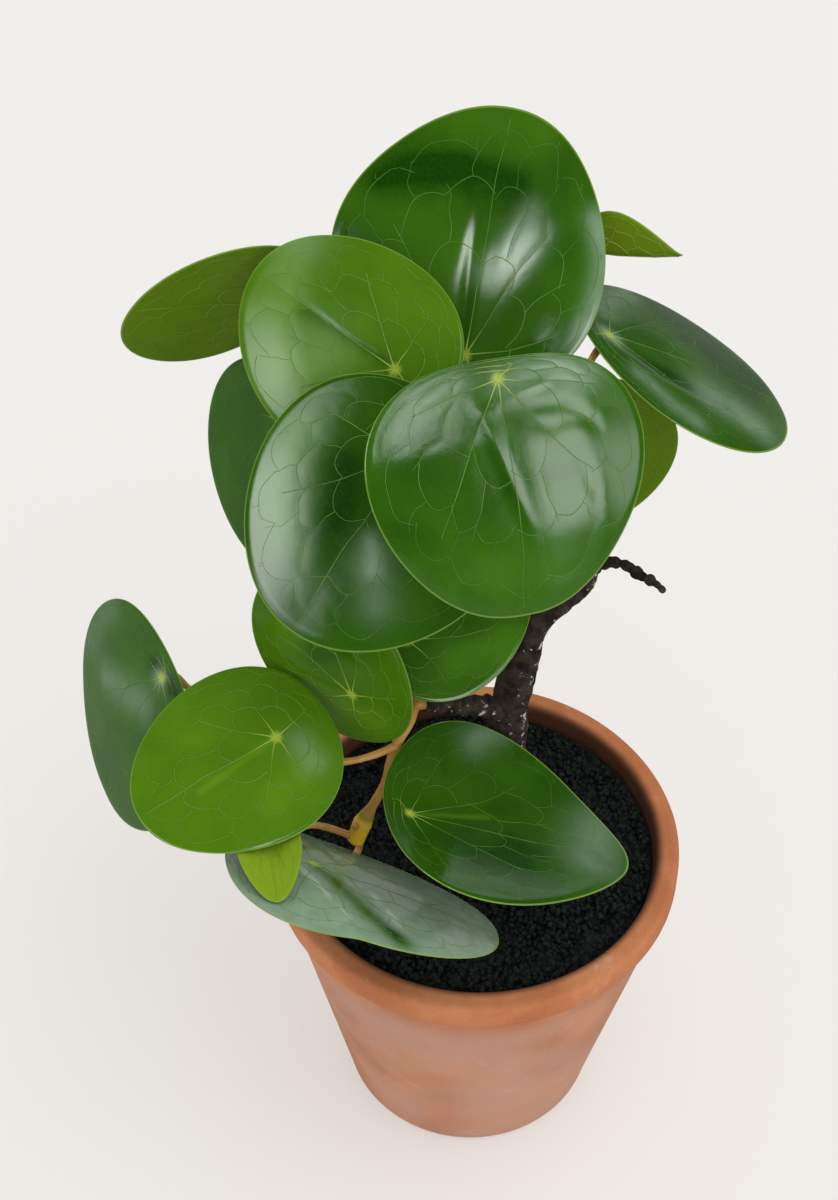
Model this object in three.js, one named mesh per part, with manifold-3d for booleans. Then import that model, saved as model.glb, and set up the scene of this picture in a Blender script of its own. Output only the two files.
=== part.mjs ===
// Potted pilea: a terracotta pot filled with dark granules, a woody stem that stands in them,
// and sixteen round leaves, each a blade held near its middle by a slim stalk.
// Millimetres, +Z up. The origin is the centre of the pot's base, the front of the plant faces -Y.

import * as THREE from 'three';
import { mergeVertices } from 'three/addons/utils/BufferGeometryUtils.js';
import Module from 'manifold-3d';

const wasm = await Module();
wasm.setup();

// ---------------------------------------------------------------- driving sizes

const gap = 0.3; // clearance between pieces that touch

const pot = {
  height: 116,
  rimRadius: 65, // outside of the rim band
  wall: 7.5,
  bandHeight: 10, // the rim band, a small step prouder than the body
  bandStep: 2.5, // how far the body under the band stands back from it
  innerEdge: 3, // rounding between the inner wall and the floor
  lipRadius: 2.5, // rounding of the rim's two top edges
  baseRadius: 42,
  baseEdge: 4, // rounding between base and body
  floor: 8,
  sides: 48,
};

const soil = {
  level: 110, // mean height of the granules
  relief: 1.6, // how far single granules stand up or sink
  grain: 2, // size of a granule
  jitter: 1.4, // how far the net's knots are drawn in towards the middle
  rings: 16,
  spokes: 64,
};

const blade = {
  thickness: 0.8,
  rings: 5,
  spokes: 24,
};

const stalk = {
  radius: 1.1,
  flare: 0.5, // how much wider a stalk gets at its root and under the blade
  sides: 6,
  steps: 10,
};

const colours = {
  terracotta: 0xb97a55,
  soil: 0x15181a,
  bark: 0x3a3034,
  stem: 0xc98f3c,
  leafDark: 0x2f6b1c,
  leafLight: 0x5c9a22,
  leafYoung: 0x7db32c,
};

// ---------------------------------------------------------------- small helpers

const radians = THREE.MathUtils.degToRad;
const smooth = (edge0, edge1, x) => THREE.MathUtils.smoothstep(x, edge0, edge1);

// a repeatable number between 0 and 1 for a pair of whole numbers
function hash(i, j) {
  const s = Math.sin(i * 127.1 + j * 311.7) * 43758.5453;
  return s - Math.floor(s);
}

function geometryFrom(points, triangles) {
  const geometry = new THREE.BufferGeometry();
  geometry.setAttribute('position', new THREE.Float32BufferAttribute(points.flat(), 3));
  geometry.setIndex(triangles.flat());
  return geometry;
}

function solidFrom(geometry) {
  const bare = geometry.clone();
  bare.deleteAttribute('normal');
  bare.deleteAttribute('uv');
  const merged = mergeVertices(bare, 1e-4);
  const vertProperties = new Float32Array(merged.attributes.position.array);
  const triVerts = new Uint32Array(merged.index.array);
  return new wasm.Manifold(new wasm.Mesh({ numProp: 3, vertProperties, triVerts }));
}

function geometryOf(solid) {
  const { vertProperties, triVerts } = solid.getMesh();
  const geometry = new THREE.BufferGeometry();
  geometry.setAttribute('position', new THREE.BufferAttribute(vertProperties, 3));
  geometry.setIndex(new THREE.BufferAttribute(triVerts, 1));
  return geometry;
}

// a cut can leave scraps behind: the piece is the largest body
function largest(solid) {
  const bodies = solid.decompose();
  return bodies.reduce((best, body) => (body.volume() > best.volume() ? body : best));
}

function piece(name, geometry, colour, roughness) {
  const flat = geometry.index ? geometry.toNonIndexed() : geometry;
  flat.computeVertexNormals();
  const material = new THREE.MeshStandardMaterial({ color: colour, roughness, metalness: 0 });
  const mesh = new THREE.Mesh(flat, material);
  mesh.name = name;
  return mesh;
}

// a closed round bar along points, its radius given for each place from 0 to 1 along it
function bar(points, radiusAt, sides, steps) {
  const curve = new THREE.CatmullRomCurve3(points.map((p) => new THREE.Vector3(...p)), false, 'centripetal');
  const frames = curve.computeFrenetFrames(steps, false);
  const vertices = [];
  const triangles = [];
  for (let i = 0; i <= steps; i += 1) {
    const centre = curve.getPointAt(i / steps);
    for (let j = 0; j < sides; j += 1) {
      const turn = (2 * Math.PI * j) / sides;
      const radius = radiusAt(i / steps, turn);
      const p = centre.clone();
      p.addScaledVector(frames.normals[i], radius * Math.cos(turn));
      p.addScaledVector(frames.binormals[i], radius * Math.sin(turn));
      vertices.push(p.toArray());
    }
  }
  for (let i = 0; i < steps; i += 1) {
    for (let j = 0; j < sides; j += 1) {
      const k = (j + 1) % sides;
      const a = i * sides;
      const b = a + sides;
      triangles.push([a + j, a + k, b + k], [a + j, b + k, b + j]);
    }
  }
  const start = vertices.push(curve.getPointAt(0).toArray()) - 1;
  const end = vertices.push(curve.getPointAt(1).toArray()) - 1;
  const last = steps * sides;
  for (let j = 0; j < sides; j += 1) {
    const k = (j + 1) % sides;
    triangles.push([start, k, j], [end, last + j, last + k]);
  }
  return geometryFrom(vertices, triangles);
}

// ---------------------------------------------------------------- pot

// the inside of the pot: its radius at the rim, at the floor and at a height between
const innerTop = pot.rimRadius - pot.wall;
const innerFloor = pot.baseRadius - pot.wall + pot.innerEdge;
const innerSlope = (innerTop - innerFloor) / (pot.height - pot.lipRadius - pot.floor - pot.innerEdge);
const innerRadius = (z) => innerFloor + innerSlope * (z - pot.floor - pot.innerEdge);

function makePot() {
  const lip = pot.lipRadius;
  const underBand = pot.height - pot.bandHeight;
  const bodyTop = pot.rimRadius - pot.bandStep;
  const edge = pot.innerEdge;
  const profile = new THREE.Path();
  profile.moveTo(0, 0);
  profile.lineTo(pot.baseRadius - pot.baseEdge, 0);
  profile.quadraticCurveTo(pot.baseRadius, 0, pot.baseRadius + 0.5, pot.baseEdge);
  profile.lineTo(bodyTop, underBand - 0.8);
  profile.lineTo(pot.rimRadius - 0.6, underBand);
  profile.lineTo(pot.rimRadius, underBand + 1.5);
  profile.lineTo(pot.rimRadius, pot.height - lip);
  profile.quadraticCurveTo(pot.rimRadius, pot.height, pot.rimRadius - lip, pot.height);
  profile.lineTo(innerTop + lip, pot.height);
  profile.quadraticCurveTo(innerTop, pot.height, innerTop, pot.height - lip);
  profile.lineTo(innerFloor, pot.floor + edge);
  profile.quadraticCurveTo(innerFloor, pot.floor, innerFloor - edge, pot.floor);
  profile.lineTo(0, pot.floor);
  const points = profile.getPoints(4);
  const lathe = new THREE.LatheGeometry(points, pot.sides);
  lathe.rotateX(Math.PI / 2);
  return lathe;
}

// ---------------------------------------------------------------- soil

// how far the granule at a place stands up or sinks
function grainHeight(x, y) {
  const i = Math.round(x / soil.grain);
  const j = Math.round(y / soil.grain);
  return soil.relief * (2 * hash(i, j) - 1);
}

function makeSoil(hole) {
  const wallRadius = (z) => innerRadius(z) * Math.cos(Math.PI / pot.sides) - gap;
  const { rings, spokes } = soil;
  const vertices = [[0, 0, soil.level + grainHeight(0, 0)]];
  const triangles = [];
  for (let i = 1; i <= rings; i += 1) {
    const edge = i === rings;
    for (let j = 0; j < spokes; j += 1) {
      const turn = (2 * Math.PI * (j + (i % 2) / 2)) / spokes;
      const radius = (wallRadius(soil.level) * i) / rings - (edge ? 0 : soil.jitter * hash(i, j));
      const x = radius * Math.cos(turn);
      const y = radius * Math.sin(turn);
      vertices.push([x, y, edge ? soil.level : soil.level + grainHeight(x, y)]);
    }
  }
  for (let j = 0; j < spokes; j += 1) triangles.push([0, 1 + j, 1 + ((j + 1) % spokes)]);
  const ringStart = (i) => 1 + (i - 1) * spokes;
  for (let i = 1; i < rings; i += 1) {
    for (let j = 0; j < spokes; j += 1) {
      const k = (j + 1) % spokes;
      const a = ringStart(i);
      const b = ringStart(i + 1);
      if (i % 2) triangles.push([a + j, b + j, b + k], [a + j, b + k, a + k]);
      else triangles.push([a + j, b + j, a + k], [a + k, b + j, b + k]);
    }
  }
  // the side wall follows the pot's inside down to its floor
  const bottom = pot.floor + gap;
  const levels = [pot.floor + pot.innerEdge, bottom];
  const radii = [wallRadius(levels[0]), wallRadius(levels[0]) - pot.innerEdge];
  let upper = ringStart(rings);
  levels.forEach((z, n) => {
    const lower = vertices.length;
    for (let j = 0; j < spokes; j += 1) {
      const turn = (2 * Math.PI * (j + (rings % 2) / 2)) / spokes;
      vertices.push([radii[n] * Math.cos(turn), radii[n] * Math.sin(turn), z]);
    }
    for (let j = 0; j < spokes; j += 1) {
      const k = (j + 1) % spokes;
      triangles.push([upper + j, lower + j, lower + k], [upper + j, lower + k, upper + k]);
    }
    upper = lower;
  });
  const middle = vertices.push([0, 0, bottom]) - 1;
  for (let j = 0; j < spokes; j += 1) triangles.push([middle, upper + ((j + 1) % spokes), upper + j]);
  return geometryOf(largest(solidFrom(geometryFrom(vertices, triangles)).subtract(hole)));
}

// ---------------------------------------------------------------- woody stem

// routes of the wood, from root to tip, with the radius at each end
const wood = {
  knob: 0.16, // how much the bark's radius varies from place to place
  trunk: {
    route: [[4, 3, 62], [5, 4, 90], [7, 5, 125], [8.5, 5.5, 155], [9, 6, 175], [12, 9.5, 191],
      [14.5, 11, 201.5], [18.5, 12, 208.5], [24, 13, 213.5], [29.5, 14.5, 218], [31, 16, 227],
      [27, 18, 238], [20, 22, 250], [14, 24, 263], [11, 25, 274]],
    radii: [5.8, 5.8, 5.8, 5.8, 5.8, 5.8, 5.9, 6, 5.3, 4.1, 2.4, 2.1, 2, 2, 1.6],
    steps: 44,
    sides: 10,
  },
  lowBranch: {
    route: [[9, 5, 172], [3, 3, 177], [-4, 0, 181], [-11, -2.5, 184.5], [-17, -4.5, 187]],
    radii: [4, 3.4, 2.9, 3.1, 2.4],
    steps: 12,
    sides: 8,
  },
  twig: {
    route: [[30, 14.5, 222], [32.5, 11, 231], [35.5, 6, 237], [39, 1.5, 240.5], [42.5, -5.5, 243.8],
      [46, -11, 246.5], [48, -15.5, 248.3]],
    radii: [1.9, 1.7, 1.8, 1.3, 1.6, 1.2, 1.4],
    steps: 18,
    sides: 8,
  },
};

// the same route, carried on a little past both of its ends
function longer(route, extra) {
  const beyond = (end, next) => {
    const from = new THREE.Vector3(...next);
    const to = new THREE.Vector3(...end);
    const length = to.distanceTo(from);
    return from.lerp(to, (length + extra) / length).toArray();
  };
  const last = route.length - 1;
  return [beyond(route[0], route[1]), ...route.slice(1, last), beyond(route[last], route[last - 1])];
}

function woodBar({ route, radii, steps, sides }, extra = 0, knobs = 0) {
  const radiusAt = (s, turn) => {
    const place = s * (radii.length - 1);
    const i = Math.min(Math.floor(place), radii.length - 2);
    const radius = THREE.MathUtils.lerp(radii[i], radii[i + 1], place - i);
    const side = Math.round((turn / (2 * Math.PI)) * sides);
    const knob = 1 + knobs * (hash(side, Math.round(s * steps)) - 0.5);
    return radius * knob + extra;
  };
  return solidFrom(bar(extra ? longer(route, extra) : route, radiusAt, sides, steps));
}

function makeWood(extra = 0, knobs = 0) {
  return ['trunk', 'lowBranch', 'twig']
    .map((key) => woodBar(wood[key], extra, knobs))
    .reduce((sum, next) => sum.add(next));
}

// ---------------------------------------------------------------- lower stem

// the ochre stem hangs from the low branch and ends in a swollen joint
const lowerStem = {
  route: [[-16.5, -4.5, 187], [-19.5, -5, 187], [-21.5, -7.5, 182], [-24.5, -10.5, 177],
    [-26.5, -13, 172], [-28.5, -16.5, 164], [-32, -18.5, 156.5], [-35.5, -20.5, 149], [-37.5, -23, 144]],
  radii: [1.9, 1.8, 1.6, 1.5, 1.4, 1.4, 1.5, 3, 2.6],
  steps: 24,
  sides: 8,
};

// ---------------------------------------------------------------- leaves

// length, width and behind (hub to the margin behind it) are in mm, angles in degrees.
// faces: where the upper side looks, as a turn from the front towards +X and a height above level.
// tip: the way from hub to tip, turned from straight downhill towards the right.
// egg: how much the blade narrows to its tip, square: how full its corners are, sway: its sideways
// belly. bends: [direction, distance from the hub, length of the bend, angle], a bend down.
const cup = (tip, right, left) => [[0, 15, 30, tip], [90, 4, 28, right], [270, 4, 28, left]];
const leaves = {
  crown: {
    hub: [-6.5, 44.4, 280.4], faces: [-2, 40], tip: 171, length: 80.5, width: 78.4, behind: 8.9,
    egg: 0.12, square: 0.02, sway: -0.12, bends: cup(15, 11, 14), colour: 'leafDark',
    stalk: [[11, 25, 270], [7, 34, 271], [0, 43, 270.5]],
  },
  upperLeft: {
    hub: [-25.9, 30.1, 287.3], faces: [-12, 44], tip: 244, length: 66.3, width: 58.4, behind: 16.8,
    egg: 0.1, square: 0.02, sway: -0.08, bends: cup(12, 12, 12), colour: 'leafLight',
    stalk: [[13, 25, 264], [0, 28.5, 266], [-15, 31.5, 274]],
  },
  farLeft: {
    hub: [-64, 76, 273], faces: [205, 20], tip: 114, length: 61, width: 56, behind: 13,
    egg: 0.04, square: 0.04, bends: cup(5, 5, 4), colour: 'leafLight',
    stalk: [[15, 25, 260], [-10, 46, 262], [-40, 62, 266]],
  },
  midLeft: {
    hub: [-22, 5.4, 278.4], faces: [-12, 44], tip: -25, length: 76.2, width: 74.3, behind: 17.8,
    egg: 0.13, square: 0.04, sway: -0.03, bends: cup(7, 10, 11), colour: 'leafDark',
    stalk: [[14, 23, 262], [2, 21, 262], [-12, 15, 265.5]],
  },
  frontCentre: {
    hub: [1, 0, 311], faces: [11, 38], tip: 2, length: 72, width: 74, behind: 6.5,
    egg: 0.2, square: 0.16, notch: 1.2, bends: cup(16, 2, 13), colour: 'leafDark',
    stalk: [[12, 24, 271], [13, 17, 284], [7, 9, 299]],
  },
  farLeftLow: {
    hub: [-60, 52, 248], faces: [-45, 18], tip: 9, length: 68, width: 61, behind: 18,
    egg: 0.12, square: 0.05, bends: cup(5, 5, 6), colour: 'leafDark',
    stalk: [[19, 22.5, 252], [-5, 40, 250], [-35, 55, 250], [-50, 60, 250]],
  },
  right: {
    hub: [34.6, 55.8, 278.4], faces: [106, 58], tip: 0, length: 78.3, width: 68, behind: 9.3,
    egg: 0.02, square: 0.04, bends: cup(5, 10, 8), colour: 'leafDark',
    stalk: [[14.5, 23.5, 264], [23, 35, 273], [29, 46.5, 276.5]],
  },
  rightBehind: {
    hub: [32, 46, 259], faces: [177, 7], tip: 8, length: 65, width: 53, behind: 14,
    egg: 0.06, square: 0.06, bends: cup(11, 4, 6), colour: 'leafLight',
    stalk: [[20, 22, 250], [26, 28, 254], [31, 37, 258]],
  },
  topRight: {
    hub: [32, 79.5, 289.7], faces: [175, 44], tip: -98, length: 30.5, width: 28, behind: 6.2,
    egg: 0.6, square: -0.4, bends: [[90, 0, 3, -45], [270, 0, 3, -45]], colour: 'leafYoung',
    stalk: [[13.5, 25, 267], [13.5, 33, 269], [12, 45, 272], [15, 58, 278], [21, 68, 285]],
  },
  farLeftBottom: {
    hub: [-96, 9, 182], faces: [-58, 23], tip: -15, length: 74, width: 73, behind: 8,
    egg: 0.16, square: 0.06, sway: 0.09, bends: cup(13, 7, 8), colour: 'leafDark',
    stalk: [[-17, -3, 185], [-30, 1, 176.5], [-46, 2, 169.5], [-64, 5, 164.5], [-80, 9, 167.5],
      [-88.5, 11.5, 174]],
  },
  leftBottom: {
    hub: [-60, -19, 188], faces: [4, 73], tip: -61, length: 63, width: 56, behind: 17,
    egg: 0.16, square: 0.06, bends: cup(10, 11, 9), colour: 'leafLight',
    stalk: [[-25, -11.5, 175.5], [-33, -15.5, 175.5], [-40.5, -18, 176], [-51, -18.5, 178]],
  },
  middle: {
    hub: [-38, -8, 195], faces: [-30, 5], tip: 204, length: 63, width: 53, behind: 17.6,
    egg: 0.05, square: 0.04, sway: -0.15, bends: cup(6, 8, 4), colour: 'leafLight',
    stalk: [[-16.5, -4, 187.3], [-24, -1, 190], [-31, -0.5, 193]],
  },
  middleBack: {
    hub: [-22.1, -1.1, 211.2], faces: [19, 50], tip: 118, length: 57.1, width: 51, behind: 13.3,
    egg: 0.1, square: 0.05, bends: cup(6, 6, 6), colour: 'leafDark',
    stalk: [[-14, -3.5, 187], [-14.5, 2, 194], [-19, 4.5, 202]],
  },
  overSoil: {
    hub: [-21, -35, 173], faces: [117, 64], tip: -21, length: 79, width: 64, behind: 8,
    egg: 0.39, square: 0.08, sway: -0.02, bends: [[0, 20, 40, -5], [90, 2, 20, -8], [270, 2, 20, -41]],
    colour: 'leafDark',
    stalk: [[-26.5, -13, 172], [-22, -14.5, 165.5], [-19, -22, 161.5], [-20, -31, 162.5]],
  },
  front: {
    hub: [-49, -46, 163], faces: [141, 52], tip: -52, length: 86, width: 70, behind: 26,
    egg: 0.1, square: 0.05, bends: [[150, 4, 5, 21], [0, 15, 35, 3], [90, 4, 28, 7], [270, 4, 28, 19]],
    colour: 'leafDark',
    stalk: [[-37.5, -23, 144], [-36, -18, 139], [-37.5, -19, 132], [-45, -32, 135], [-50, -43, 147]],
  },
  young: {
    hub: [-62, -43, 173], faces: [-126, 86], tip: 136, length: 31, width: 19, behind: 6,
    egg: 0.25, bends: [[90, 0, 3, -20], [270, 0, 3, -20]], colour: 'leafYoung',
    stalk: [[-37, -22.5, 145], [-46, -22.5, 150], [-51.5, -27.5, 157.5], [-57, -35, 163.5]],
  },
};

// three directions of a blade: to its right, to its tip and out of its upper side
function bladeFrame({ faces, tip }) {
  const turn = radians(faces[0]);
  const rise = radians(faces[1]);
  const level = Math.cos(rise);
  const out = new THREE.Vector3(Math.sin(turn) * level, -Math.cos(turn) * level, Math.sin(rise));
  const downhill = out.clone().multiplyScalar(out.z).sub(new THREE.Vector3(0, 0, 1)).normalize();
  const across = new THREE.Vector3().crossVectors(out, downhill);
  const toTip = downhill.multiplyScalar(Math.cos(radians(tip)));
  toTip.addScaledVector(across, Math.sin(radians(tip)));
  const toRight = new THREE.Vector3().crossVectors(toTip, out);
  return { toRight, toTip, out };
}

// the outline at an angle from the margin behind the hub, round by the right
function outline(leaf, angle) {
  const { length, width, behind, egg = 0, square = 0, sway = 0, notch = 0 } = leaf;
  const side = Math.sign(Math.sin(angle)) * Math.abs(Math.sin(angle)) ** (1 - square);
  const along = -Math.cos(angle);
  const nearHub = Math.min(angle, 2 * Math.PI - angle) / 0.35;
  return {
    x: (width / 2) * (side * (1 - egg * along) + sway * (1 - along * along)),
    y: length / 2 - behind + (length / 2) * along + notch * Math.exp(-nearHub * nearHub),
  };
}

// curls a point of the flat blade down beyond a straight line across it
function bend(point, [direction, start, run, angle]) {
  const dir = radians(direction);
  const n = new THREE.Vector2(Math.sin(dir), Math.cos(dir));
  const beyond = point.x * n.x + point.y * n.y - start;
  if (beyond <= 0 || angle === 0) return point;
  const total = radians(angle);
  const swept = Math.min(beyond / run, 1) * total;
  const straight = Math.max(beyond - run, 0);
  const reach = (Math.sin(swept) * run) / total + straight * Math.cos(total) + point.z * Math.sin(swept);
  const drop = ((1 - Math.cos(swept)) * run) / total + straight * Math.sin(total);
  const move = reach - beyond;
  return new THREE.Vector3(point.x + n.x * move, point.y + n.y * move, point.z * Math.cos(swept) - drop);
}

function bladePoint(leaf, share, angle) {
  const { x, y } = outline(leaf, angle);
  return leaf.bends.reduce(bend, new THREE.Vector3(x * share, y * share, 0));
}

// the blade's middle surface as a net from the hub, then one skin to each side of it
function makeBlade(leaf) {
  const { toRight, toTip, out } = bladeFrame(leaf);
  const hub = new THREE.Vector3(...leaf.hub);
  const { rings, spokes } = blade;
  const middle = [];
  for (let i = 0; i <= rings; i += 1) {
    for (let j = 0; j < (i ? spokes : 1); j += 1) {
      const local = bladePoint(leaf, i / rings, (2 * Math.PI * j) / spokes);
      const p = hub.clone().addScaledVector(toRight, local.x);
      p.addScaledVector(toTip, local.y).addScaledVector(out, local.z);
      middle.push(p);
    }
  }
  const at = (i, j) => (i ? 1 + (i - 1) * spokes + (j % spokes) : 0);
  const net = [];
  for (let j = 0; j < spokes; j += 1) {
    net.push([at(0, 0), at(1, j), at(1, j + 1)]);
    for (let i = 1; i < rings; i += 1) {
      net.push([at(i, j), at(i + 1, j), at(i + 1, j + 1)], [at(i, j), at(i + 1, j + 1), at(i, j + 1)]);
    }
  }
  const normals = middle.map(() => new THREE.Vector3());
  for (const [a, b, c] of net) {
    const ab = middle[b].clone().sub(middle[a]);
    const normal = ab.cross(middle[c].clone().sub(middle[a]));
    for (const index of [a, b, c]) normals[index].add(normal);
  }
  normals.forEach((normal) => normal.normalize());
  const count = middle.length;
  const skin = (side) => middle.map((p, n) => p.clone().addScaledVector(normals[n], side).toArray());
  const vertices = [...skin(blade.thickness / 2), ...skin(-blade.thickness / 2)];
  const triangles = [...net];
  net.forEach(([a, b, c]) => triangles.push([a + count, c + count, b + count]));
  for (let j = 0; j < spokes; j += 1) {
    const a = at(rings, j);
    const b = at(rings, j + 1);
    triangles.push([a, a + count, b + count], [a, b + count, b]);
  }
  return geometryFrom(vertices, triangles);
}

// a stalk runs from the wood to just under the blade's hub, square to the blade at its end
function stalkRoute(leaf) {
  const { out } = bladeFrame(leaf);
  const hub = new THREE.Vector3(...leaf.hub);
  const end = hub.clone().addScaledVector(out, -blade.thickness / 2 - gap);
  const before = hub.clone().addScaledVector(out, -4.5);
  return [...leaf.stalk, before.toArray(), end.toArray()];
}

function makeStalk(leaf) {
  const radiusAt = (s) => {
    const ends = 1 - smooth(0, 0.12, s) + smooth(0.92, 1, s);
    return stalk.radius + stalk.flare * ends;
  };
  return solidFrom(bar(stalkRoute(leaf), radiusAt, stalk.sides, stalk.steps));
}

// ---------------------------------------------------------------- the plant

const plant = new THREE.Group();
plant.name = 'potted_pilea';
plant.add(piece('pot', makePot(), colours.terracotta, 0.85));
plant.add(piece('soil', makeSoil(makeWood(gap + wood.knob * wood.trunk.radii[0])), colours.soil, 1));
plant.add(piece('woody_stem', geometryOf(makeWood(0, wood.knob)), colours.bark, 0.9));

const aroundWood = makeWood(2 * gap);
const aroundLowerStem = woodBar(lowerStem, gap);
const hangingStem = woodBar(lowerStem).subtract(aroundWood);
plant.add(piece('lower_stem', geometryOf(largest(hangingStem)), colours.stem, 0.6));

for (const [name, leaf] of Object.entries(leaves)) {
  plant.add(piece(`leaf_${name}`, makeBlade(leaf), colours[leaf.colour], 0.4));
  const bare = makeStalk(leaf).subtract(aroundWood).subtract(aroundLowerStem);
  plant.add(piece(`stalk_${name}`, geometryOf(largest(bare)), colours.stem, 0.6));
}

export default plant;
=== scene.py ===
import math

import bpy
import numpy as np
from mathutils import Matrix, Vector


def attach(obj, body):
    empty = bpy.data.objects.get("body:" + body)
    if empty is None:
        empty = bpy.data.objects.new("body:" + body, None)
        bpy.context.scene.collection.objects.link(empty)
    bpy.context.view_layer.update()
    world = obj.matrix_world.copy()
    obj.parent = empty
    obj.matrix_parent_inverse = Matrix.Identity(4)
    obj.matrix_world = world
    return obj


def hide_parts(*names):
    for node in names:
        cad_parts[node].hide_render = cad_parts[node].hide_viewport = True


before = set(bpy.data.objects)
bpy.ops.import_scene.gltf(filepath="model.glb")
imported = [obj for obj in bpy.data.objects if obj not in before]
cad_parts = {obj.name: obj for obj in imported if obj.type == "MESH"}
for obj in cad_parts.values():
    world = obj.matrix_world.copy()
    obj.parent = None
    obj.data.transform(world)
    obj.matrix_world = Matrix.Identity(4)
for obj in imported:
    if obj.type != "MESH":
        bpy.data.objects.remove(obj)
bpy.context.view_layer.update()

# A pilea in a terracotta pot. Sizes in the dictionaries are millimetres, angles degrees.
mm = 0.001

# ---- objects and shader nodes


def addObject(name, data):
    obj = bpy.data.objects.new(name, data)
    bpy.context.scene.collection.objects.link(obj)
    return obj


def meshFrom(name, points, faces, edges=()):
    mesh = bpy.data.meshes.new(name)
    mesh.from_pydata([tuple(p) for p in points], edges, faces)
    mesh.validate()
    return mesh


def giveValues(mesh, label, values, kind="FLOAT"):
    # one value, or one vector, for each point of the mesh
    layer = mesh.attributes.new(label, kind, "POINT").data
    layer.foreach_set("value" if kind == "FLOAT" else "vector", np.ravel(values).astype(np.float32))


def newMaterial(name):
    material = bpy.data.materials.new(name)
    material.use_nodes = True
    return material, material.node_tree, material.node_tree.nodes["Principled BSDF"]


def addNode(tree, kind, values=None, **settings):
    node = tree.nodes.new(kind)
    for key, value in settings.items():
        setattr(node, key, value)
    for key, value in (values or {}).items():
        socket = node.inputs[key]
        if isinstance(value, bpy.types.NodeSocket):
            tree.links.new(value, socket)
        else:
            socket.default_value = value
    return node


def calc(tree, operation, a, b=0.0, clamp=False):
    return addNode(tree, "ShaderNodeMath", {0: a, 1: b}, operation=operation, use_clamp=clamp).outputs[0]


def between(tree, value, low, high, toLow=0.0, toHigh=1.0, soft=True):
    kind = "SMOOTHSTEP" if soft else "LINEAR"
    values = {"Value": value, "From Min": low, "From Max": high, "To Min": toLow, "To Max": toHigh}
    return addNode(tree, "ShaderNodeMapRange", values, interpolation_type=kind).outputs["Result"]


def blendColour(tree, share, a, b):
    node = tree.nodes.new("ShaderNodeMix")
    node.data_type = "RGBA"
    for socket, value in ((node.inputs[0], share), (node.inputs[6], a), (node.inputs[7], b)):
        if isinstance(value, bpy.types.NodeSocket):
            tree.links.new(value, socket)
        else:
            socket.default_value = value
    return node.outputs[2]


def noise(tree, place, scale, detail=3.0, rough=0.5, distort=0.0):
    values = {"Vector": place, "Scale": scale, "Detail": detail, "Roughness": rough, "Distortion": distort}
    return addNode(tree, "ShaderNodeTexNoise", values).outputs[0]


def newGroup(name, inputs, outputs):
    group = bpy.data.node_groups.new(name, "ShaderNodeTree")
    kinds = {"colour": "NodeSocketColor", "value": "NodeSocketFloat", "vector": "NodeSocketVector"}
    for label, kind, value in inputs:
        socket = group.interface.new_socket(name=label, in_out="INPUT", socket_type=kinds[kind])
        if value is not None:
            socket.default_value = value
    for label, kind in outputs:
        group.interface.new_socket(name=label, in_out="OUTPUT", socket_type=kinds[kind])
    entry, leave = group.nodes.new("NodeGroupInput"), group.nodes.new("NodeGroupOutput")
    return group, entry.outputs, leave.inputs


def placeGroup(tree, group, values):
    node = tree.nodes.new("ShaderNodeGroup")
    node.node_tree = group
    for key, value in values.items():
        if isinstance(value, bpy.types.NodeSocket):
            tree.links.new(value, node.inputs[key])
        else:
            node.inputs[key].default_value = value
    return node.outputs


def rgb(r, g, b):
    # a colour as a paint program shows it, for a shader
    return (*[((v / 255 + 0.055) / 1.055) ** 2.4 if v > 10 else v / 255 / 12.92 for v in (r, g, b)], 1)


def mottleGroup():
    # uneven colour at two sizes, for everything that grew or was fired
    group, given, out = newGroup(
        "mottle",
        [("Place", "vector", None), ("Patch Scale", "value", 40.0), ("Speck Scale", "value", 600.0),
         ("First", "colour", (0, 0, 0, 1)), ("Second", "colour", (1, 1, 1, 1)),
         ("Speck Amount", "value", 0.3)],
        [("Colour", "colour"), ("Patches", "value"), ("Specks", "value")])
    patches = between(group, noise(group, given["Place"], given["Patch Scale"], 4, 0.55), 0.33, 0.67)
    specks = noise(group, given["Place"], given["Speck Scale"], 2, 0.6)
    shifted = calc(group, "MULTIPLY", calc(group, "SUBTRACT", specks, 0.5), given["Speck Amount"])
    share = calc(group, "ADD", patches, shifted, True)
    group.links.new(blendColour(group, share, given["First"], given["Second"]), out["Colour"])
    group.links.new(patches, out["Patches"])
    group.links.new(specks, out["Specks"])
    return group


mottle = mottleGroup()

# ---- camera, floor and lights

view = {
    "target": (-18.8, 0, 227), "distance": 664, "elevation": 47, "roll": 0.5, "lens": 70,
    "floorSize": 9000, "floorColour": (0.5, 0.495, 0.485, 1), "mirroredFloor": (0.3, 0.3, 0.29, 1),
    "floorGlow": (0.4, 0.39, 0.375, 1), "roomColour": (1, 0.99, 0.975, 1), "roomLight": 0.84,
    # reflected windows: turn from the front towards +X, rise, width, height and lean in degrees, then the
    # share that is free of the soft edge, and the brightness
    "windows": [(-49, 31, 27, 50, 41, 0.2, 8), (35, 17, 25, 42, 0, 0.45, 5.5), (51, 12, 20, 38, 0, 0.3, 3),
                (11, 57, 11, 34, -40, 0.1, 11), (17, 35, 8, 5, 0, 0.5, 5), (175, 24, 24, 18, 0, 0.4, 4)],
    "windowDistance": 1900, "windowColour": (0.97, 1, 0.98, 1),
    # what gloss mirrors: where a colour stands, from 0 at the sides to 1 straight behind, and the colour
    "mirrorFront": (0.1, (0.02, 0.022, 0.02, 1)), "mirrorSide": (0.88, (0.06, 0.065, 0.06, 1)),
    "mirrorBack": (0.97, (0.95, 1, 0.98, 1)), "mirrorLight": 1.2,
    "keyLight": {"place": (700, -500, 1900), "size": 1500, "watts": 9},
}


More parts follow.
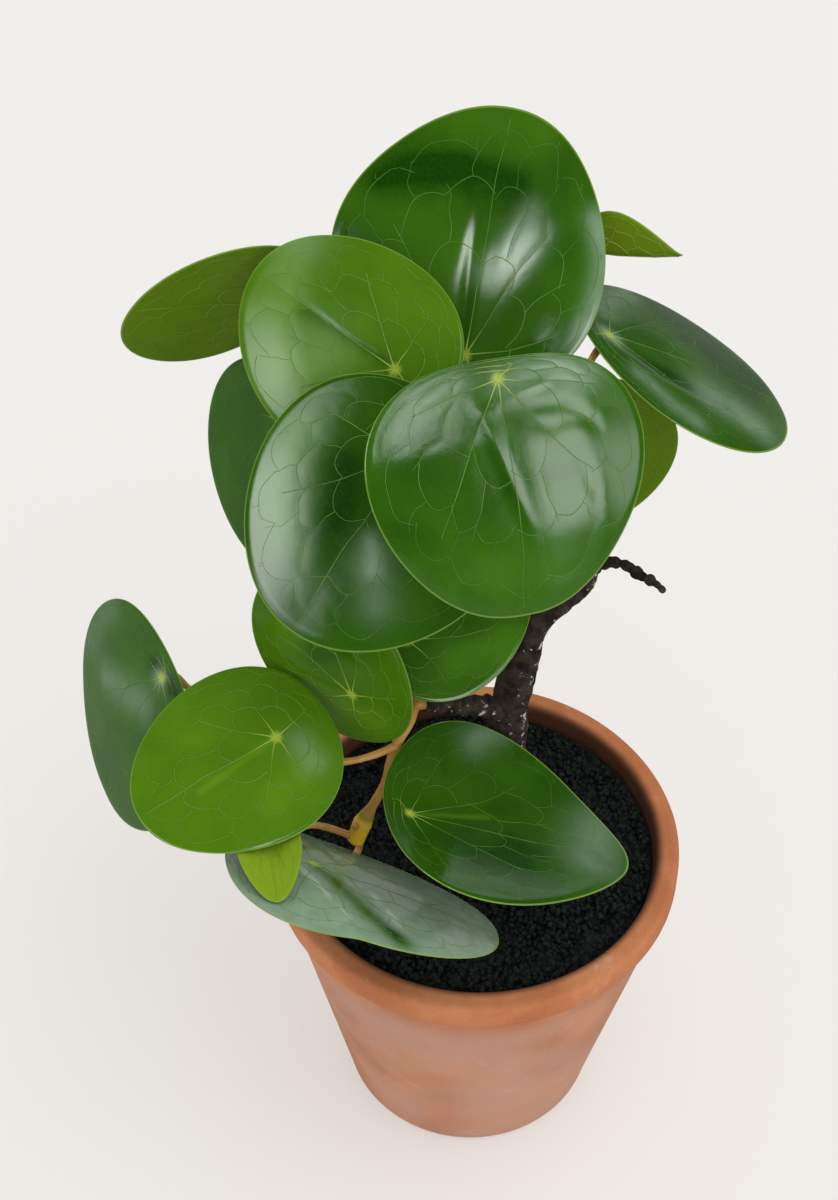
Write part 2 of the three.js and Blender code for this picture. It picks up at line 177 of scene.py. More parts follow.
def direction(turn, rise):
    level = math.cos(rise)
    return Vector((math.sin(turn) * level, -math.cos(turn) * level, math.sin(rise)))


def aim(obj, place, back, roll=0.0):
    right = Vector((0, 0, 1)).cross(back).normalized()
    up = back.cross(right)
    turned = right * math.cos(roll) + up * math.sin(roll), up * math.cos(roll) - right * math.sin(roll)
    axes = Matrix((turned[0], turned[1], back)).transposed().to_4x4()
    obj.matrix_world = Matrix.Translation(place) @ axes


def makeCamera():
    lens = bpy.data.cameras.new("photoCamera")
    lens.lens, lens.sensor_width = view["lens"], 36
    lens.clip_start, lens.clip_end = 0.05, 50
    camera = addObject("photoCamera", lens)
    back = direction(0, math.radians(view["elevation"]))
    target = Vector(view["target"]) * mm
    aim(camera, target + back * view["distance"] * mm, back, math.radians(view["roll"]))
    bpy.context.scene.camera = camera


def flatSheet(name, x, y):
    return meshFrom(name, [(-x, -y, 0), (x, -y, 0), (x, y, 0), (-x, y, 0)], [(0, 1, 2, 3)])


def makeWindow(name, place, back, wide, high, lean, core, bright):
    # a bright pane with soft edges, seen in the gloss only
    away = view["windowDistance"] * mm
    halves = [away * math.tan(math.radians(angle / 2)) for angle in (wide, high)]
    mesh = flatSheet(name, *halves)
    pane = addObject(name, mesh)
    aim(pane, place, back, math.radians(lean))
    pane.visible_camera = pane.visible_diffuse = pane.visible_shadow = pane.visible_transmission = False
    material = bpy.data.materials.new(name)
    material.use_nodes = True
    tree = material.node_tree
    tree.nodes.clear()
    coord = addNode(tree, "ShaderNodeTexCoord").outputs["Object"]
    across = addNode(tree, "ShaderNodeSeparateXYZ", {0: coord}).outputs
    inside = [between(tree, calc(tree, "ABSOLUTE", part), half * core, half, 1, 0)
              for part, half in zip(across, halves)]
    strength = calc(tree, "MULTIPLY", calc(tree, "MULTIPLY", *inside), bright)
    glow = addNode(tree, "ShaderNodeEmission", {"Color": view["windowColour"], "Strength": strength})
    addNode(tree, "ShaderNodeOutputMaterial", {"Surface": glow.outputs[0]})
    mesh.materials.append(material)


def makeLights():
    centre = Vector(view["target"]) * mm
    for number, (turn, rise, *pane) in enumerate(view["windows"]):
        back = direction(math.radians(turn), math.radians(rise))
        makeWindow(f"window{number}", centre + back * view["windowDistance"] * mm, back, *pane)
    key = view["keyLight"]
    data = bpy.data.lights.new("keyLight", "AREA")
    data.size, data.energy = key["size"] * mm, key["watts"]
    light = addObject("keyLight", data)
    place = Vector(key["place"]) * mm
    aim(light, place, (place - centre).normalized())
    light.visible_camera = light.visible_glossy = False


def makeRoom():
    world = bpy.data.worlds.new("room")
    bpy.context.scene.world = world
    world.use_nodes = True
    world.cycles.sampling_method = "NONE"  # gloss then meets only the room it mirrors
    tree = world.node_tree
    tree.nodes.clear()
    plain = addNode(tree, "ShaderNodeBackground",
                    {"Color": view["roomColour"], "Strength": view["roomLight"]})
    # what the gloss sees: a dim room in front, the pale backdrop behind
    towards = addNode(tree, "ShaderNodeTexCoord").outputs["Generated"]
    behind = addNode(tree, "ShaderNodeSeparateXYZ", {0: towards}).outputs["Y"]
    ramp = addNode(tree, "ShaderNodeValToRGB", {0: behind})
    first, last = ramp.color_ramp.elements
    first.position, first.color = view["mirrorFront"]
    last.position, last.color = view["mirrorBack"]
    ramp.color_ramp.elements.new(view["mirrorSide"][0]).color = view["mirrorSide"][1]
    mirrored = addNode(tree, "ShaderNodeBackground",
                       {"Color": ramp.outputs["Color"], "Strength": view["mirrorLight"]})
    inGloss = addNode(tree, "ShaderNodeLightPath").outputs["Is Glossy Ray"]
    mix = addNode(tree, "ShaderNodeMixShader", {0: inGloss, 1: plain.outputs[0], 2: mirrored.outputs[0]})
    addNode(tree, "ShaderNodeOutputWorld", {"Surface": mix.outputs[0]})


def makeFloor():
    half = view["floorSize"] * mm / 2
    mesh = flatSheet("floor", half, half)
    material, tree, shader = newMaterial("paleFloor")
    shader.inputs["Roughness"].default_value = 0.9
    shader.inputs["Specular IOR Level"].default_value = 0.1
    shader.inputs["Emission Color"].default_value = view["floorGlow"]
    # the glow lifts the shadows, but leaves mirror a duller table
    inGloss = addNode(tree, "ShaderNodeLightPath").outputs["Is Glossy Ray"]
    tree.links.new(calc(tree, "SUBTRACT", 1, inGloss), shader.inputs["Emission Strength"])
    colour = blendColour(tree, inGloss, view["floorColour"], view["mirroredFloor"])
    tree.links.new(colour, shader.inputs["Base Color"])
    mesh.materials.append(material)
    addObject("floor", mesh)


bpy.context.scene.view_settings.view_transform = "Standard"
makeCamera()
makeLights()
makeRoom()
makeFloor()
print("camera, lights and floor are in place")

# ---- routes and tubes


def smoothRoute(points, steps):
    # the curve that the part's source draws through the same points, cut into even steps
    p = np.array(points, float)
    p = np.vstack([2 * p[0] - p[1], p, 2 * p[-1] - p[-2]])
    spots = []
    for i in range(1, len(p) - 2):
        a, b, c, d = p[i - 1:i + 3]
        t0, t1, t2 = (math.sqrt(np.linalg.norm(v)) for v in (b - a, c - b, d - c))
        m0 = ((b - a) / t0 - (c - a) / (t0 + t1) + (c - b) / t1) * t1
        m1 = ((c - b) / t1 - (d - b) / (t1 + t2) + (d - c) / t2) * t1
        t = np.linspace(0, 1, 41)[:-1, None]
        spots.append(b + m0 * t + (3 * (c - b) - 2 * m0 - m1) * t ** 2 + (2 * (b - c) + m0 + m1) * t ** 3)
    spots = np.vstack([*spots, p[-2:-1]])
    run = np.concatenate([[0], np.cumsum(np.linalg.norm(np.diff(spots, axis=0), axis=1))])
    at = np.linspace(0, run[-1], steps + 1)
    return np.stack([np.interp(at, run, spots[:, k]) for k in range(3)], 1)


def radiiAlong(radii, count):
    return np.interp(np.linspace(0, 1, count), np.linspace(0, 1, len(radii)), radii)


def newGeometryTree(name, inputs):
    tree = bpy.data.node_groups.new(name, "GeometryNodeTree")
    tree.interface.new_socket(name="Geometry", in_out="INPUT", socket_type="NodeSocketGeometry")
    for label, kind in inputs:
        tree.interface.new_socket(name=label, in_out="INPUT", socket_type=kind)
    tree.interface.new_socket(name="Geometry", in_out="OUTPUT", socket_type="NodeSocketGeometry")
    entry, leave = tree.nodes.new("NodeGroupInput"), tree.nodes.new("NodeGroupOutput")
    return tree, entry.outputs, leave.inputs


def endTree(tree, geometry, material, leave):
    solid = addNode(tree, "GeometryNodeRealizeInstances", {"Geometry": geometry})
    dressed = addNode(tree, "GeometryNodeSetMaterial", {"Geometry": solid.outputs[0], "Material": material})
    tree.links.new(dressed.outputs[0], leave["Geometry"])


def tubeTree():
    # a tube along every chain of edges, as thick as the attribute says, with a rough skin if asked
    tree, given, leave = newGeometryTree(
        "tubeAlong",
        [("Sides", "NodeSocketInt"), ("Knobs", "NodeSocketFloat"), ("Knob Scale", "NodeSocketFloat"),
         ("Ridges", "NodeSocketFloat"), ("Seed", "NodeSocketFloat"), ("Material", "NodeSocketMaterial")])
    curve = addNode(tree, "GeometryNodeMeshToCurve", {"Mesh": given["Geometry"]})
    thick = addNode(tree, "GeometryNodeInputNamedAttribute", {"Name": "thick"}, data_type="FLOAT")
    ring = addNode(tree, "GeometryNodeCurvePrimitiveCircle", {"Resolution": given["Sides"], "Radius": 1.0})
    tube = addNode(tree, "GeometryNodeCurveToMesh",
                   {"Curve": curve.outputs[0], "Profile Curve": ring.outputs[0], "Scale": thick.outputs[0],
                    "Fill Caps": True})
    place = addNode(tree, "GeometryNodeInputPosition").outputs[0]
    bumps = addNode(tree, "ShaderNodeTexNoise",
                    {"Vector": place, "W": given["Seed"], "Scale": given["Knob Scale"], "Detail": 5.0,
                     "Roughness": 0.55}, noise_dimensions="4D")
    lengthways = addNode(tree, "ShaderNodeVectorMath", {0: place, 1: (1, 1, 0.22)}, operation="MULTIPLY")
    grooves = addNode(tree, "ShaderNodeTexNoise",
                      {"Vector": lengthways.outputs[0], "W": given["Seed"], "Scale": 900.0, "Detail": 2.0},
                      noise_dimensions="4D")
    high = calc(tree, "MULTIPLY", calc(tree, "SUBTRACT", bumps.outputs[0], 0.5), given["Knobs"])
    low = calc(tree, "MULTIPLY", calc(tree, "SUBTRACT", grooves.outputs[0], 0.5), given["Ridges"])
    outward = addNode(tree, "GeometryNodeInputNormal").outputs[0]
    shift = addNode(tree, "ShaderNodeVectorMath", {0: outward, "Scale": calc(tree, "ADD", high, low)},
                    operation="SCALE")
    moved = addNode(tree, "GeometryNodeSetPosition",
                    {"Geometry": tube.outputs[0], "Offset": shift.outputs[0]})
    endTree(tree, moved.outputs[0], given["Material"], leave)
    return tree


tubes = tubeTree()


def runTree(obj, tree, values):
    # puts the tree on the object, takes its plain mesh and removes the modifier
    modifier = obj.modifiers.new(tree.name, "NODES")
    modifier.node_group = tree
    for item in tree.interface.items_tree:
        if item.in_out == "INPUT" and item.name in values:
            modifier[item.identifier] = values[item.name]
    shown = obj.evaluated_get(bpy.context.evaluated_depsgraph_get())
    mesh = bpy.data.meshes.new_from_object(shown)
    obj.modifiers.clear()
    old, obj.data = obj.data, mesh
    bpy.data.meshes.remove(old)
    mesh.name = obj.name
    mesh.shade_smooth()
    return obj


def makeTubes(name, chains, material, sides=12, knobs=0.0, knobScale=400.0, ridges=0.0, seed=0.0):
    # chains: (points in mm, radii in mm) for each tube, and marks along it for its material
    points, edges, thick, along = [], [], [], []
    for route, radii, *marks in chains:
        first = len(points)
        points.extend(np.asarray(route) * mm)
        thick.extend(np.asarray(radii) * mm)
        along.extend(marks[0] if marks else np.linspace(0, 1, len(route)))
        edges.extend((first + i, first + i + 1) for i in range(len(route) - 1))
    mesh = meshFrom(name, points, [], edges)
    giveValues(mesh, "thick", thick)
    giveValues(mesh, "along", along)
    obj = addObject(name, mesh)
    runTree(obj, tubes, {"Sides": sides, "Knobs": knobs * mm, "Knob Scale": knobScale, "Ridges": ridges * mm,
                         "Seed": seed, "Material": material})
    turnOutward(obj.data)
    return obj


def turnOutward(mesh):
    # flips every face if the closed mesh is inside out
    corners = np.empty(len(mesh.vertices) * 3)
    mesh.vertices.foreach_get("co", corners)
    corners = corners.reshape(-1, 3)
    mesh.calc_loop_triangles()
    triangles = np.empty(len(mesh.loop_triangles) * 3, int)
    mesh.loop_triangles.foreach_get("vertices", triangles)
    a, b, c = (corners[triangles.reshape(-1, 3)[:, k]] for k in range(3))
    if np.einsum("ij,ij->i", a, np.cross(b, c)).sum() < 0:
        mesh.flip_normals()


def dress(obj, slot, *nodes):
    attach(obj, "root")
    if nodes:
        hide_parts(*nodes)


# ---- leaf blades

bladeLook = {
    "thickness": 0.8, "marginShare": 0.45, "marginWidth": 0.04, "edgeBulge": 0.12, "rings": 46, "spokes": 144,
    "ringBias": 1.15,  # above 1, the rings crowd towards the margin
    "grooveDepth": 0.02, "grooveWidth": 0.7, "grooveStart": 3, "grooveFull": 15, "flatHub": 0.06,
    "quilt": 0.02, "quiltWidth": 3.5,
}


def cup(tip, right, left):
    return [(0, 15, 30, tip), (90, 4, 28, right), (270, 4, 28, left)]


# hub: where the stalk meets the blade. faces: turn and rise of the upper side. tip: turn from downhill.
# behind: from the hub to the near margin. tone: 0 the deeper green, 1 the lighter. veins: scales widths.
# folds, shades, bloom: a line of (x, y) on the flat blade, then how far up, lighter or paler, then how wide
# bloom is mostly painted sheen, the pale cast of reflected light; a negative amount takes it away
# shades are mostly painted light and shade: dark creases, shade under other leaves and lit patches; a few are
# pale midribs
leaves = {
    "crown": dict(
        hub=(-6.5, 44.4, 280.4), faces=(-2, 40), tip=171, length=80.5, width=78.4, behind=8.9,
        egg=0.12, square=0.02, sway=-0.12, bends=cup(15, 11, 14), finish="leafDark", tone=0.42, seed=1,
        folds=[((-1, -6), (-3, 20), (-4.4, 46), -0.2, 2)],
        shades=[((-34, 44), (-25, 49), (-10, 53), (5, 51), -0.45, 4.5),
                ((-24, 43), (-8, 46), (6, 44), -0.2, 6), ((-24, 12), (-10, 22), 0.3, 14),
                ((-17, 66), (10, 68), 0.2, 8), ((33, 48), (33, 20), 0.4, 6),
                ((-2, 6), (-2.6, 22), -0.35, 2.5)],
        bloom=[((11, 43), (6, 31), (0.5, 23), 0.3, 3.5), ((30, 44), (34, 34), (34, 22), (31, 9), 0.6, 3.5)],
        stalk=[(11, 25, 270), (7, 34, 271), (0, 43, 270.5)]),
    "upperLeft": dict(
        hub=(-25.9, 30.1, 287.3), faces=(-12, 44), tip=244, length=66.3, width=58.4, behind=16.8,
        egg=0.1, square=0.02, sway=-0.08, bends=cup(12, 12, 12), finish="leafLight", tone=0.5, seed=2,
        folds=[((1, 0), (-0.5, 16), (-0.7, 33), -0.3, 1.6)],
        shades=[((-6, 42), (14, 43), 0.25, 8), ((-18, 26), (-8, 18), 0.35, 9), ((0, 3), (-0.7, 30), -0.4, 2)],
        bloom=[((14, 43), (14, 43), 0.25, 8), ((-20, 26), (-8, 20), 0.18, 10)],
        stalk=[(13, 25, 264), (0, 28.5, 266), (-15, 31.5, 274)]),
    "farLeft": dict(
        hub=(-64, 76, 273), faces=(205, 20), tip=114, length=61, width=56, behind=13,
        egg=0.04, square=0.04, bends=cup(5, 5, 4), finish="leafLight", tone=0.2, seed=3,
        stalk=[(15, 25, 260), (-10, 46, 262), (-40, 62, 266)]),
    "midLeft": dict(
        hub=(-22, 5.4, 278.4), faces=(-12, 44), tip=-25, length=76.2, width=74.3, behind=17.8,
        egg=0.13, square=0.04, sway=-0.03, bends=cup(7, 10, 11), finish="leafDark", tone=0.33, seed=4,
        shades=[((29, 12), (27, 26), (16, 38), 0.45, 7), ((12, 12), (4, 30), -0.3, 6),
                ((-24, 31), (-20, 20), 0.3, 8)],
        bloom=[((-4.5, 25), (-9, 31), 0.4, 3), ((-8, 30), (-15, 38), 0.3, 6)],
        stalk=[(14, 23, 262), (2, 21, 262), (-12, 15, 265.5)]),
    "frontCentre": dict(
        hub=(1, 0, 311), faces=(11, 38), tip=2, length=72, width=74, behind=6.5,
        egg=0.2, square=0.16, notch=1.2, bends=cup(16, 2, 13), finish="leafDark", tone=0.45, seed=5,
        folds=[((8, 2), (3.5, 14), (1, 23), (-1.2, 32), (-5, 43), 0.18, 1.7),
               ((7, 8.5), (-4, 4.3), (-15, 2), 0.12, 1.3),
               ((2, 9.7), (-8, 8.6), (-17, 9), (-24, 14.4), (-27, 24), -0.09, 2),
               ((2, 8.5), (-12.4, 14.5), (-19, 25), (-22.4, 33.3), (-22, 46), -0.09, 2),
               ((-9, 15), (-17.4, 13.3), (-27, 17), -0.06, 1.6)],
        shades=[((23, 20), (30, 32), -0.15, 12), ((4, 55), (-10, 55), 0.3, 12), ((7, 10), (-3, 40), -0.15, 2)],
        bloom=[((11, 0), (20, 3), (28, 11), 0.3, 4), ((-2, 1), (-14, -1), (-24, 3), 0.4, 4.5)],
        stalk=[(12, 24, 271), (13, 17, 284), (7, 9, 299)]),
    "farLeftLow": dict(
        hub=(-60, 52, 248), faces=(-45, 18), tip=9, length=68, width=61, behind=18,
        egg=0.12, square=0.05, bends=cup(5, 5, 6), finish="leafDark", tone=0.5, seed=6,
        veins=0.75,
        bloom=[((-6, -4), (-2, 8), (-0.5, 38), 0.25, 5)],
        stalk=[(19, 22.5, 252), (-5, 40, 250), (-35, 55, 250), (-50, 60, 250)]),
    "right": dict(
        hub=(34.6, 55.8, 278.4), faces=(106, 58), tip=0, length=78.3, width=68, behind=9.3,
        egg=0.02, square=0.04, bends=cup(5, 10, 8), finish="leafDark", tone=0.3, seed=7,
        veins=0.75,
        folds=[((-4, -8), (6, 8), (12, 16), (14.6, 26.4), (20, 60), -0.5, 2.6)],
        shades=[((-26, 36), (-6, 56), -0.5, 10), ((8, 10), (17, 40), -0.3, 3)],
        bloom=[((-1, -1), (1, 1), 0.7, 3), ((-18, -2), (-12, 3), 0.3, 5),
               ((15, 5), (24, 14), (28, 22), 0.35, 3.5), ((13, 32), (19, 50), 0.45, 7),
               ((-30, 20), (-20, 8), 0.35, 5)],
        stalk=[(14.5, 23.5, 264), (23, 35, 273), (29, 46.5, 276.5)]),
    # its light tone partly paints light shining through the leaf from behind
    "rightBehind": dict(
        hub=(32, 46, 259), faces=(177, 7), tip=8, length=65, width=53, behind=14,
        egg=0.06, square=0.06, bends=cup(11, 4, 6), finish="leafLight", tone=0.6, seed=8,
        stalk=[(20, 22, 250), (26, 28, 254), (31, 37, 258)]),
    # its light tone partly paints light shining through the young leaf from behind
    "topRight": dict(
        hub=(32, 79.5, 289.7), faces=(175, 44), tip=-98, length=30.5, width=28, behind=6.2,
        egg=0.6, square=-0.4, bends=[(90, 0, 3, -45), (270, 0, 3, -45)], finish="leafYoung", tone=0.95, seed=9,
        folds=[((0, 0), (-1, 22), -0.5, 2)],
        shades=[((-5, 9), (-4.5, 18), -0.9, 2.5), ((8, 6), (6, 18), 0.5, 5)],
        stalk=[(13.5, 25, 267), (13.5, 33, 269), (12, 45, 272), (15, 58, 278), (21, 68, 285)]),
    "farLeftBottom": dict(
        hub=(-96, 9, 182), faces=(-58, 23), tip=-15, length=74, width=73, behind=8,
        egg=0.16, square=0.06, sway=0.09, bends=cup(13, 7, 8), finish="leafDark", tone=0.5, seed=10,
        veins=0.6,
        folds=[((12, 1), (-12, -5), -0.4, 2)],
        shades=[((-10, 40), (-20, 20), 0.1, 10), ((5, 0), (-8, -4), -0.6, 3)],
        bloom=[((20, 28), (0, 14), 0.35, 6), ((36, 30), (35, 12), 0.25, 6), ((0, 0), (1, 1), 0.7, 3)],
        stalk=[(-17, -3, 185), (-30, 1, 176.5), (-46, 2, 169.5), (-64, 5, 164.5), (-80, 9, 167.5),
               (-88.5, 11.5, 174)]),
    "leftBottom": dict(
        hub=(-60, -19, 188), faces=(4, 73), tip=-61, length=63, width=56, behind=17,
        egg=0.16, square=0.06, bends=cup(10, 11, 9), finish="leafLight", tone=0.6, seed=11,
        folds=[((0, 0), (-3, 30), -0.25, 1.6)],
        shades=[((0, 0), (-3, 27), 0.35, 1.2), ((11, 19), (20, 10), 0.15, 8), ((-12, -5), (-16, 10), 0.3, 6)],
        bloom=[((-5, -5), (-12, -5), 0.3, 4)],
        stalk=[(-25, -11.5, 175.5), (-33, -15.5, 175.5), (-40.5, -18, 176), (-51, -18.5, 178)]),
    "middle": dict(
        hub=(-38, -8, 195), faces=(-30, 5), tip=204, length=63, width=53, behind=17.6,
        egg=0.05, square=0.04, sway=-0.15, bends=cup(6, 8, 4), finish="leafLight", tone=0.42, seed=12,
        folds=[((7, 10), (3, 26), -0.3, 2)],
        shades=[((7, 20), (-6, 16), -0.5, 6), ((7, -9), (-8, -10), 0.3, 8), ((-10, 22), (-14, 24), 0.45, 6)],
        stalk=[(-16.5, -4, 187.3), (-24, -1, 190), (-31, -0.5, 193)]),
    "middleBack": dict(
        hub=(-22.1, -1.1, 211.2), faces=(19, 50), tip=118, length=57.1, width=51, behind=13.3,
        egg=0.1, square=0.05, bends=cup(6, 6, 6), finish="leafDark", tone=0.5, seed=13,
        shades=[((14, 7), (19, 21), 0.5, 5), ((22, 26), (26, 20), 0.3, 7)],
        stalk=[(-14, -3.5, 187), (-14.5, 2, 194), (-19, 4.5, 202)]),
    "overSoil": dict(
        hub=(-21, -35, 173), faces=(117, 64), tip=-21, length=79, width=64, behind=8,
        egg=0.39, square=0.08, sway=-0.02, bends=[(0, 20, 40, -5), (90, 2, 20, -8), (270, 2, 20, -41)],
        finish="leafDark", tone=0.28, seed=14,
        veins=0.55,
        folds=[((1, -4), (-6, 30), -0.2, 1.5)],
        shades=[((0, 0), (-6, 26), 0.5, 0.9), ((-15, 8), (-20, 30), 0.1, 10), ((14, 18), (10, 30), -0.35, 10)],
        bloom=[((-8, 62), (4, 58), 0.4, 9), ((-30, 20), (-35, 26), 0.35, 5)],
        stalk=[(-26.5, -13, 172), (-22, -14.5, 165.5), (-19, -22, 161.5), (-20, -31, 162.5)]),
    "front": dict(
        hub=(-49, -46, 163), faces=(141, 52), tip=-52, length=86, width=70, behind=26,
        egg=0.1, square=0.05, bends=[(150, 4, 5, 21), (0, 15, 35, 3), (90, 4, 28, 7), (270, 4, 28, 19)],
        finish="leafDark", tone=0.5, seed=15,
        quilt=0.05, veins=0.7, paintedSheenAllOver=0.8,  # how pale the painted sheen of reflected light is all over this leaf
        folds=[((-24, 2), (-7.5, 9.6), (10, 18), (34, 30), -0.45, 2.6)],
        shades=[((-7.5, 10), (25, 25), -0.6, 3)],
        bloom=[((6, 52), (10, 53), 0.35, 5), ((-6, 20), (0, 50), 0.2, 10), ((12, 38), (18, 46), 0.2, 12),
               ((2, 2), (12, 10), (22, 18), (29, 26), -0.8, 4), ((0, -14), (-14, -6), -0.4, 8)],
        stalk=[(-37.5, -23, 144), (-36, -18, 139), (-37.5, -19, 132), (-45, -32, 135), (-50, -43, 147)]),
    "young": dict(
        hub=(-62, -43, 173), faces=(-126, 86), tip=136, length=31, width=19, behind=6,
        egg=0.25, bends=[(90, 0, 3, -20), (270, 0, 3, -20)], finish="leafYoung", tone=0.85, seed=16,
        folds=[((-1.6, 3), (-1.2, 14), -0.5, 1.6)],
        stalk=[(-37, -22.5, 145), (-46, -22.5, 150), (-51.5, -27.5, 157.5), (-57, -35, 163.5)]),
}


def bladeFrame(leaf):
    # to the blade's right, to its tip, out of its upper side
    turn, rise = np.radians(leaf["faces"])
    out = np.array((math.sin(turn) * math.cos(rise), -math.cos(turn) * math.cos(rise), math.sin(rise)))
    downhill = out * out[2] - np.array((0, 0, 1))
    downhill /= np.linalg.norm(downhill)
    tip = math.radians(leaf["tip"])
    toTip = downhill * math.cos(tip) + np.cross(out, downhill) * math.sin(tip)
    return np.cross(toTip, out), toTip, out


def flatPoint(leaf, share, angle):
    # a place on the flat blade; angle 0 is the margin behind the hub, and it grows round by the right
    sine = np.sin(angle)
    side = np.sign(sine) * np.abs(sine) ** (1 - leaf.get("square", 0))
    along = -np.cos(angle)
    nearHub = np.minimum(angle % (2 * np.pi), 2 * np.pi - angle % (2 * np.pi)) / 0.35
    x = leaf["width"] / 2 * (side * (1 - leaf.get("egg", 0) * along) + leaf.get("sway", 0) * (1 - along ** 2))
    y = leaf["length"] / 2 * (1 + along) - leaf["behind"] + leaf.get("notch", 0) * np.exp(-nearHub ** 2)
    return x * share, y * share


def bent(leaf, x, y, z):
    for towards, start, run, angle in leaf["bends"]:
        nx, ny = math.sin(math.radians(towards)), math.cos(math.radians(towards))
        beyond = x * nx + y * ny - start
        total = math.radians(angle)
        swept = np.clip(beyond / run, 0, 1) * total
        straight = np.maximum(beyond - run, 0)
        reach = np.sin(swept) * run / total + straight * math.cos(total) + z * np.sin(swept)
        drop = (1 - np.cos(swept)) * run / total + straight * math.sin(total)
        move = np.where(beyond > 0, reach - beyond, 0)
        z = np.where(beyond > 0, z * np.cos(swept) - drop, z)
        x, y = x + nx * move, y + ny * move
    return x, y, z


def toWorld(leaf, x, y, z):
    right, tip, out = bladeFrame(leaf)
    x, y, z = bent(leaf, x, y, z)
    return np.array(leaf["hub"]) + x[..., None] * right + y[..., None] * tip + z[..., None] * out


def fromSegment(x, y, a, b):
    # distance of places from the line a to b, and how far along it they are
    ax, ay = a
    bx, by = b[0] - ax, b[1] - ay
    t = np.clip(((x - ax) * bx + (y - ay) * by) / (bx * bx + by * by + 1e-9), 0, 1)
    return np.hypot(x - ax - t * bx, y - ay - t * by), t


def marksOn(x, y, entries, fading=False):
    # the sum of soft lines on the blade, each of which may fade out at its ends
    total = np.zeros(np.shape(x))
    for *line, amount, spread in entries:
        near, at = np.full(total.shape, 1e9), np.zeros(total.shape)
        for k, (a, b) in enumerate(zip(line[:-1], line[1:])):
            d, t = fromSegment(x, y, a, b)
            at = np.where(d < near, (k + t) / (len(line) - 1), at)
            near = np.minimum(near, d)
        ends = np.clip(np.minimum(at, 1 - at) / 0.25, 0, 1) if fading else 1
        total += amount * ends * np.exp(-(near / spread) ** 2)
    return total


# ---- veins: main ones from the hub, joined by arches, with finer ones between and outside those

# inner, middle and outer are the rows of arches, as shares of the way from the hub to the margin
veinLook = {
    "mains": 6, "inner": 0.36, "middle": 0.63, "outer": 0.85, "bulge": 0.07, "shake": 0.02,
    "mainWidth": 0.36, "archWidth": 0.26, "smallWidth": 0.17, "fineBelow": 0.15, "lift": 0.02,
    "sides": 5, "above": 0.5, "below": 0.65,
}


def veinNet(leaf):
    # chains of (share, angle) with the width at each end
    rng = np.random.default_rng(leaf["seed"] * 77 + 5)
    count = 4 if leaf["finish"] == "leafYoung" else veinLook["mains"]
    step = 2 * np.pi / count
    widths = (veinLook[key] for key in ("mainWidth", "archWidth", "smallWidth"))
    main, arch, fine = (width * leaf.get("veins", 1) for width in widths)
    chains = []

    def walk(a, b, bulge, wide, narrow, steps=4):
        # from a to b, bulging outward or sideways, never quite even
        t = np.linspace(0, 1, steps + 1)
        bow = np.sin(np.pi * t)
        sideways = abs(b[0] - a[0]) > abs(b[1] - a[1])
        shake = rng.uniform(-1, 1, (2, steps + 1)) * veinLook["shake"] * bow
        share = a[0] + (b[0] - a[0]) * t + (0 if sideways else bulge) * bow + shake[0]
        turn = a[1] + (b[1] - a[1]) * t + (bulge if sideways else 0) * bow + shake[1] * 1.5
        chains.append((np.stack([share, turn], 1), wide, narrow))
        half = len(t) // 2
        return share[half], turn[half]

    def jitter(value, amount):
        return value + rng.uniform(-amount, amount)

    def archesOver(walls, level, wide, narrow):
        # arches from wall to wall round the blade; gives the top of each
        tops = []
        for k, wall in enumerate(walls):
            after = walls[(k + 1) % len(walls)] + (2 * np.pi if k == len(walls) - 1 else 0)
            low = jitter(level, 0.05), wall
            high = jitter(level, 0.05), after
            tops.append(walk(low, high, veinLook["bulge"] + rng.uniform(-0.02, 0.03), wide, narrow))
        return tops

    angles = np.pi + step * (np.arange(count) + rng.uniform(-0.14, 0.14, count))
    angles[0] = np.pi
    for k, angle in enumerate(angles):
        end = jitter(angle, 0.12), jitter(0.7, 0.06)
        if k:
            walk((0.02, angle), (end[1], end[0]), rng.uniform(-0.1, 0.1), main, arch, 6)
            angles[k] = (angle + end[0]) / 2
        else:
            walk((0.02, angle), (0.96, angle), rng.uniform(-0.03, 0.03), main * 1.1, arch, 8)
    walls = []
    for angle, (share, turn) in zip(angles, archesOver(angles, veinLook["inner"], arch, arch)):
        end = jitter(turn, 0.06)
        high = jitter(veinLook["middle"], 0.04) + 0.05, end
        walk((share, turn), high, rng.uniform(-0.06, 0.06), arch, fine)
        walls += [angle, (turn + end) / 2]
    tops = archesOver(walls, veinLook["middle"], arch, fine)
    ends = []
    for share, turn in tops:
        end = jitter(veinLook["outer"], 0.03), jitter(turn, 0.05)
        walk((share, turn), end, rng.uniform(-0.05, 0.05), fine, fine * 0.7)
        ends.append(end[1])
    for share, turn in archesOver(ends, veinLook["outer"] - 0.01, fine, fine * 0.8):
        if rng.uniform() < 0.6:
            walk((share, turn), (min(share + 0.05, 0.95), jitter(turn, 0.04)), 0.01, fine * 0.8, fine * 0.5, 3)
    return chains


def chainOnBlade(leaf, chain):
    spots, wide, narrow = chain
    spots = smoothRoute(np.column_stack([*flatPoint(leaf, spots[:, 0], spots[:, 1]), 0 * spots[:, 0]]),
                        len(spots) * 2)
    return spots[:, :2], np.linspace(wide, narrow, len(spots))


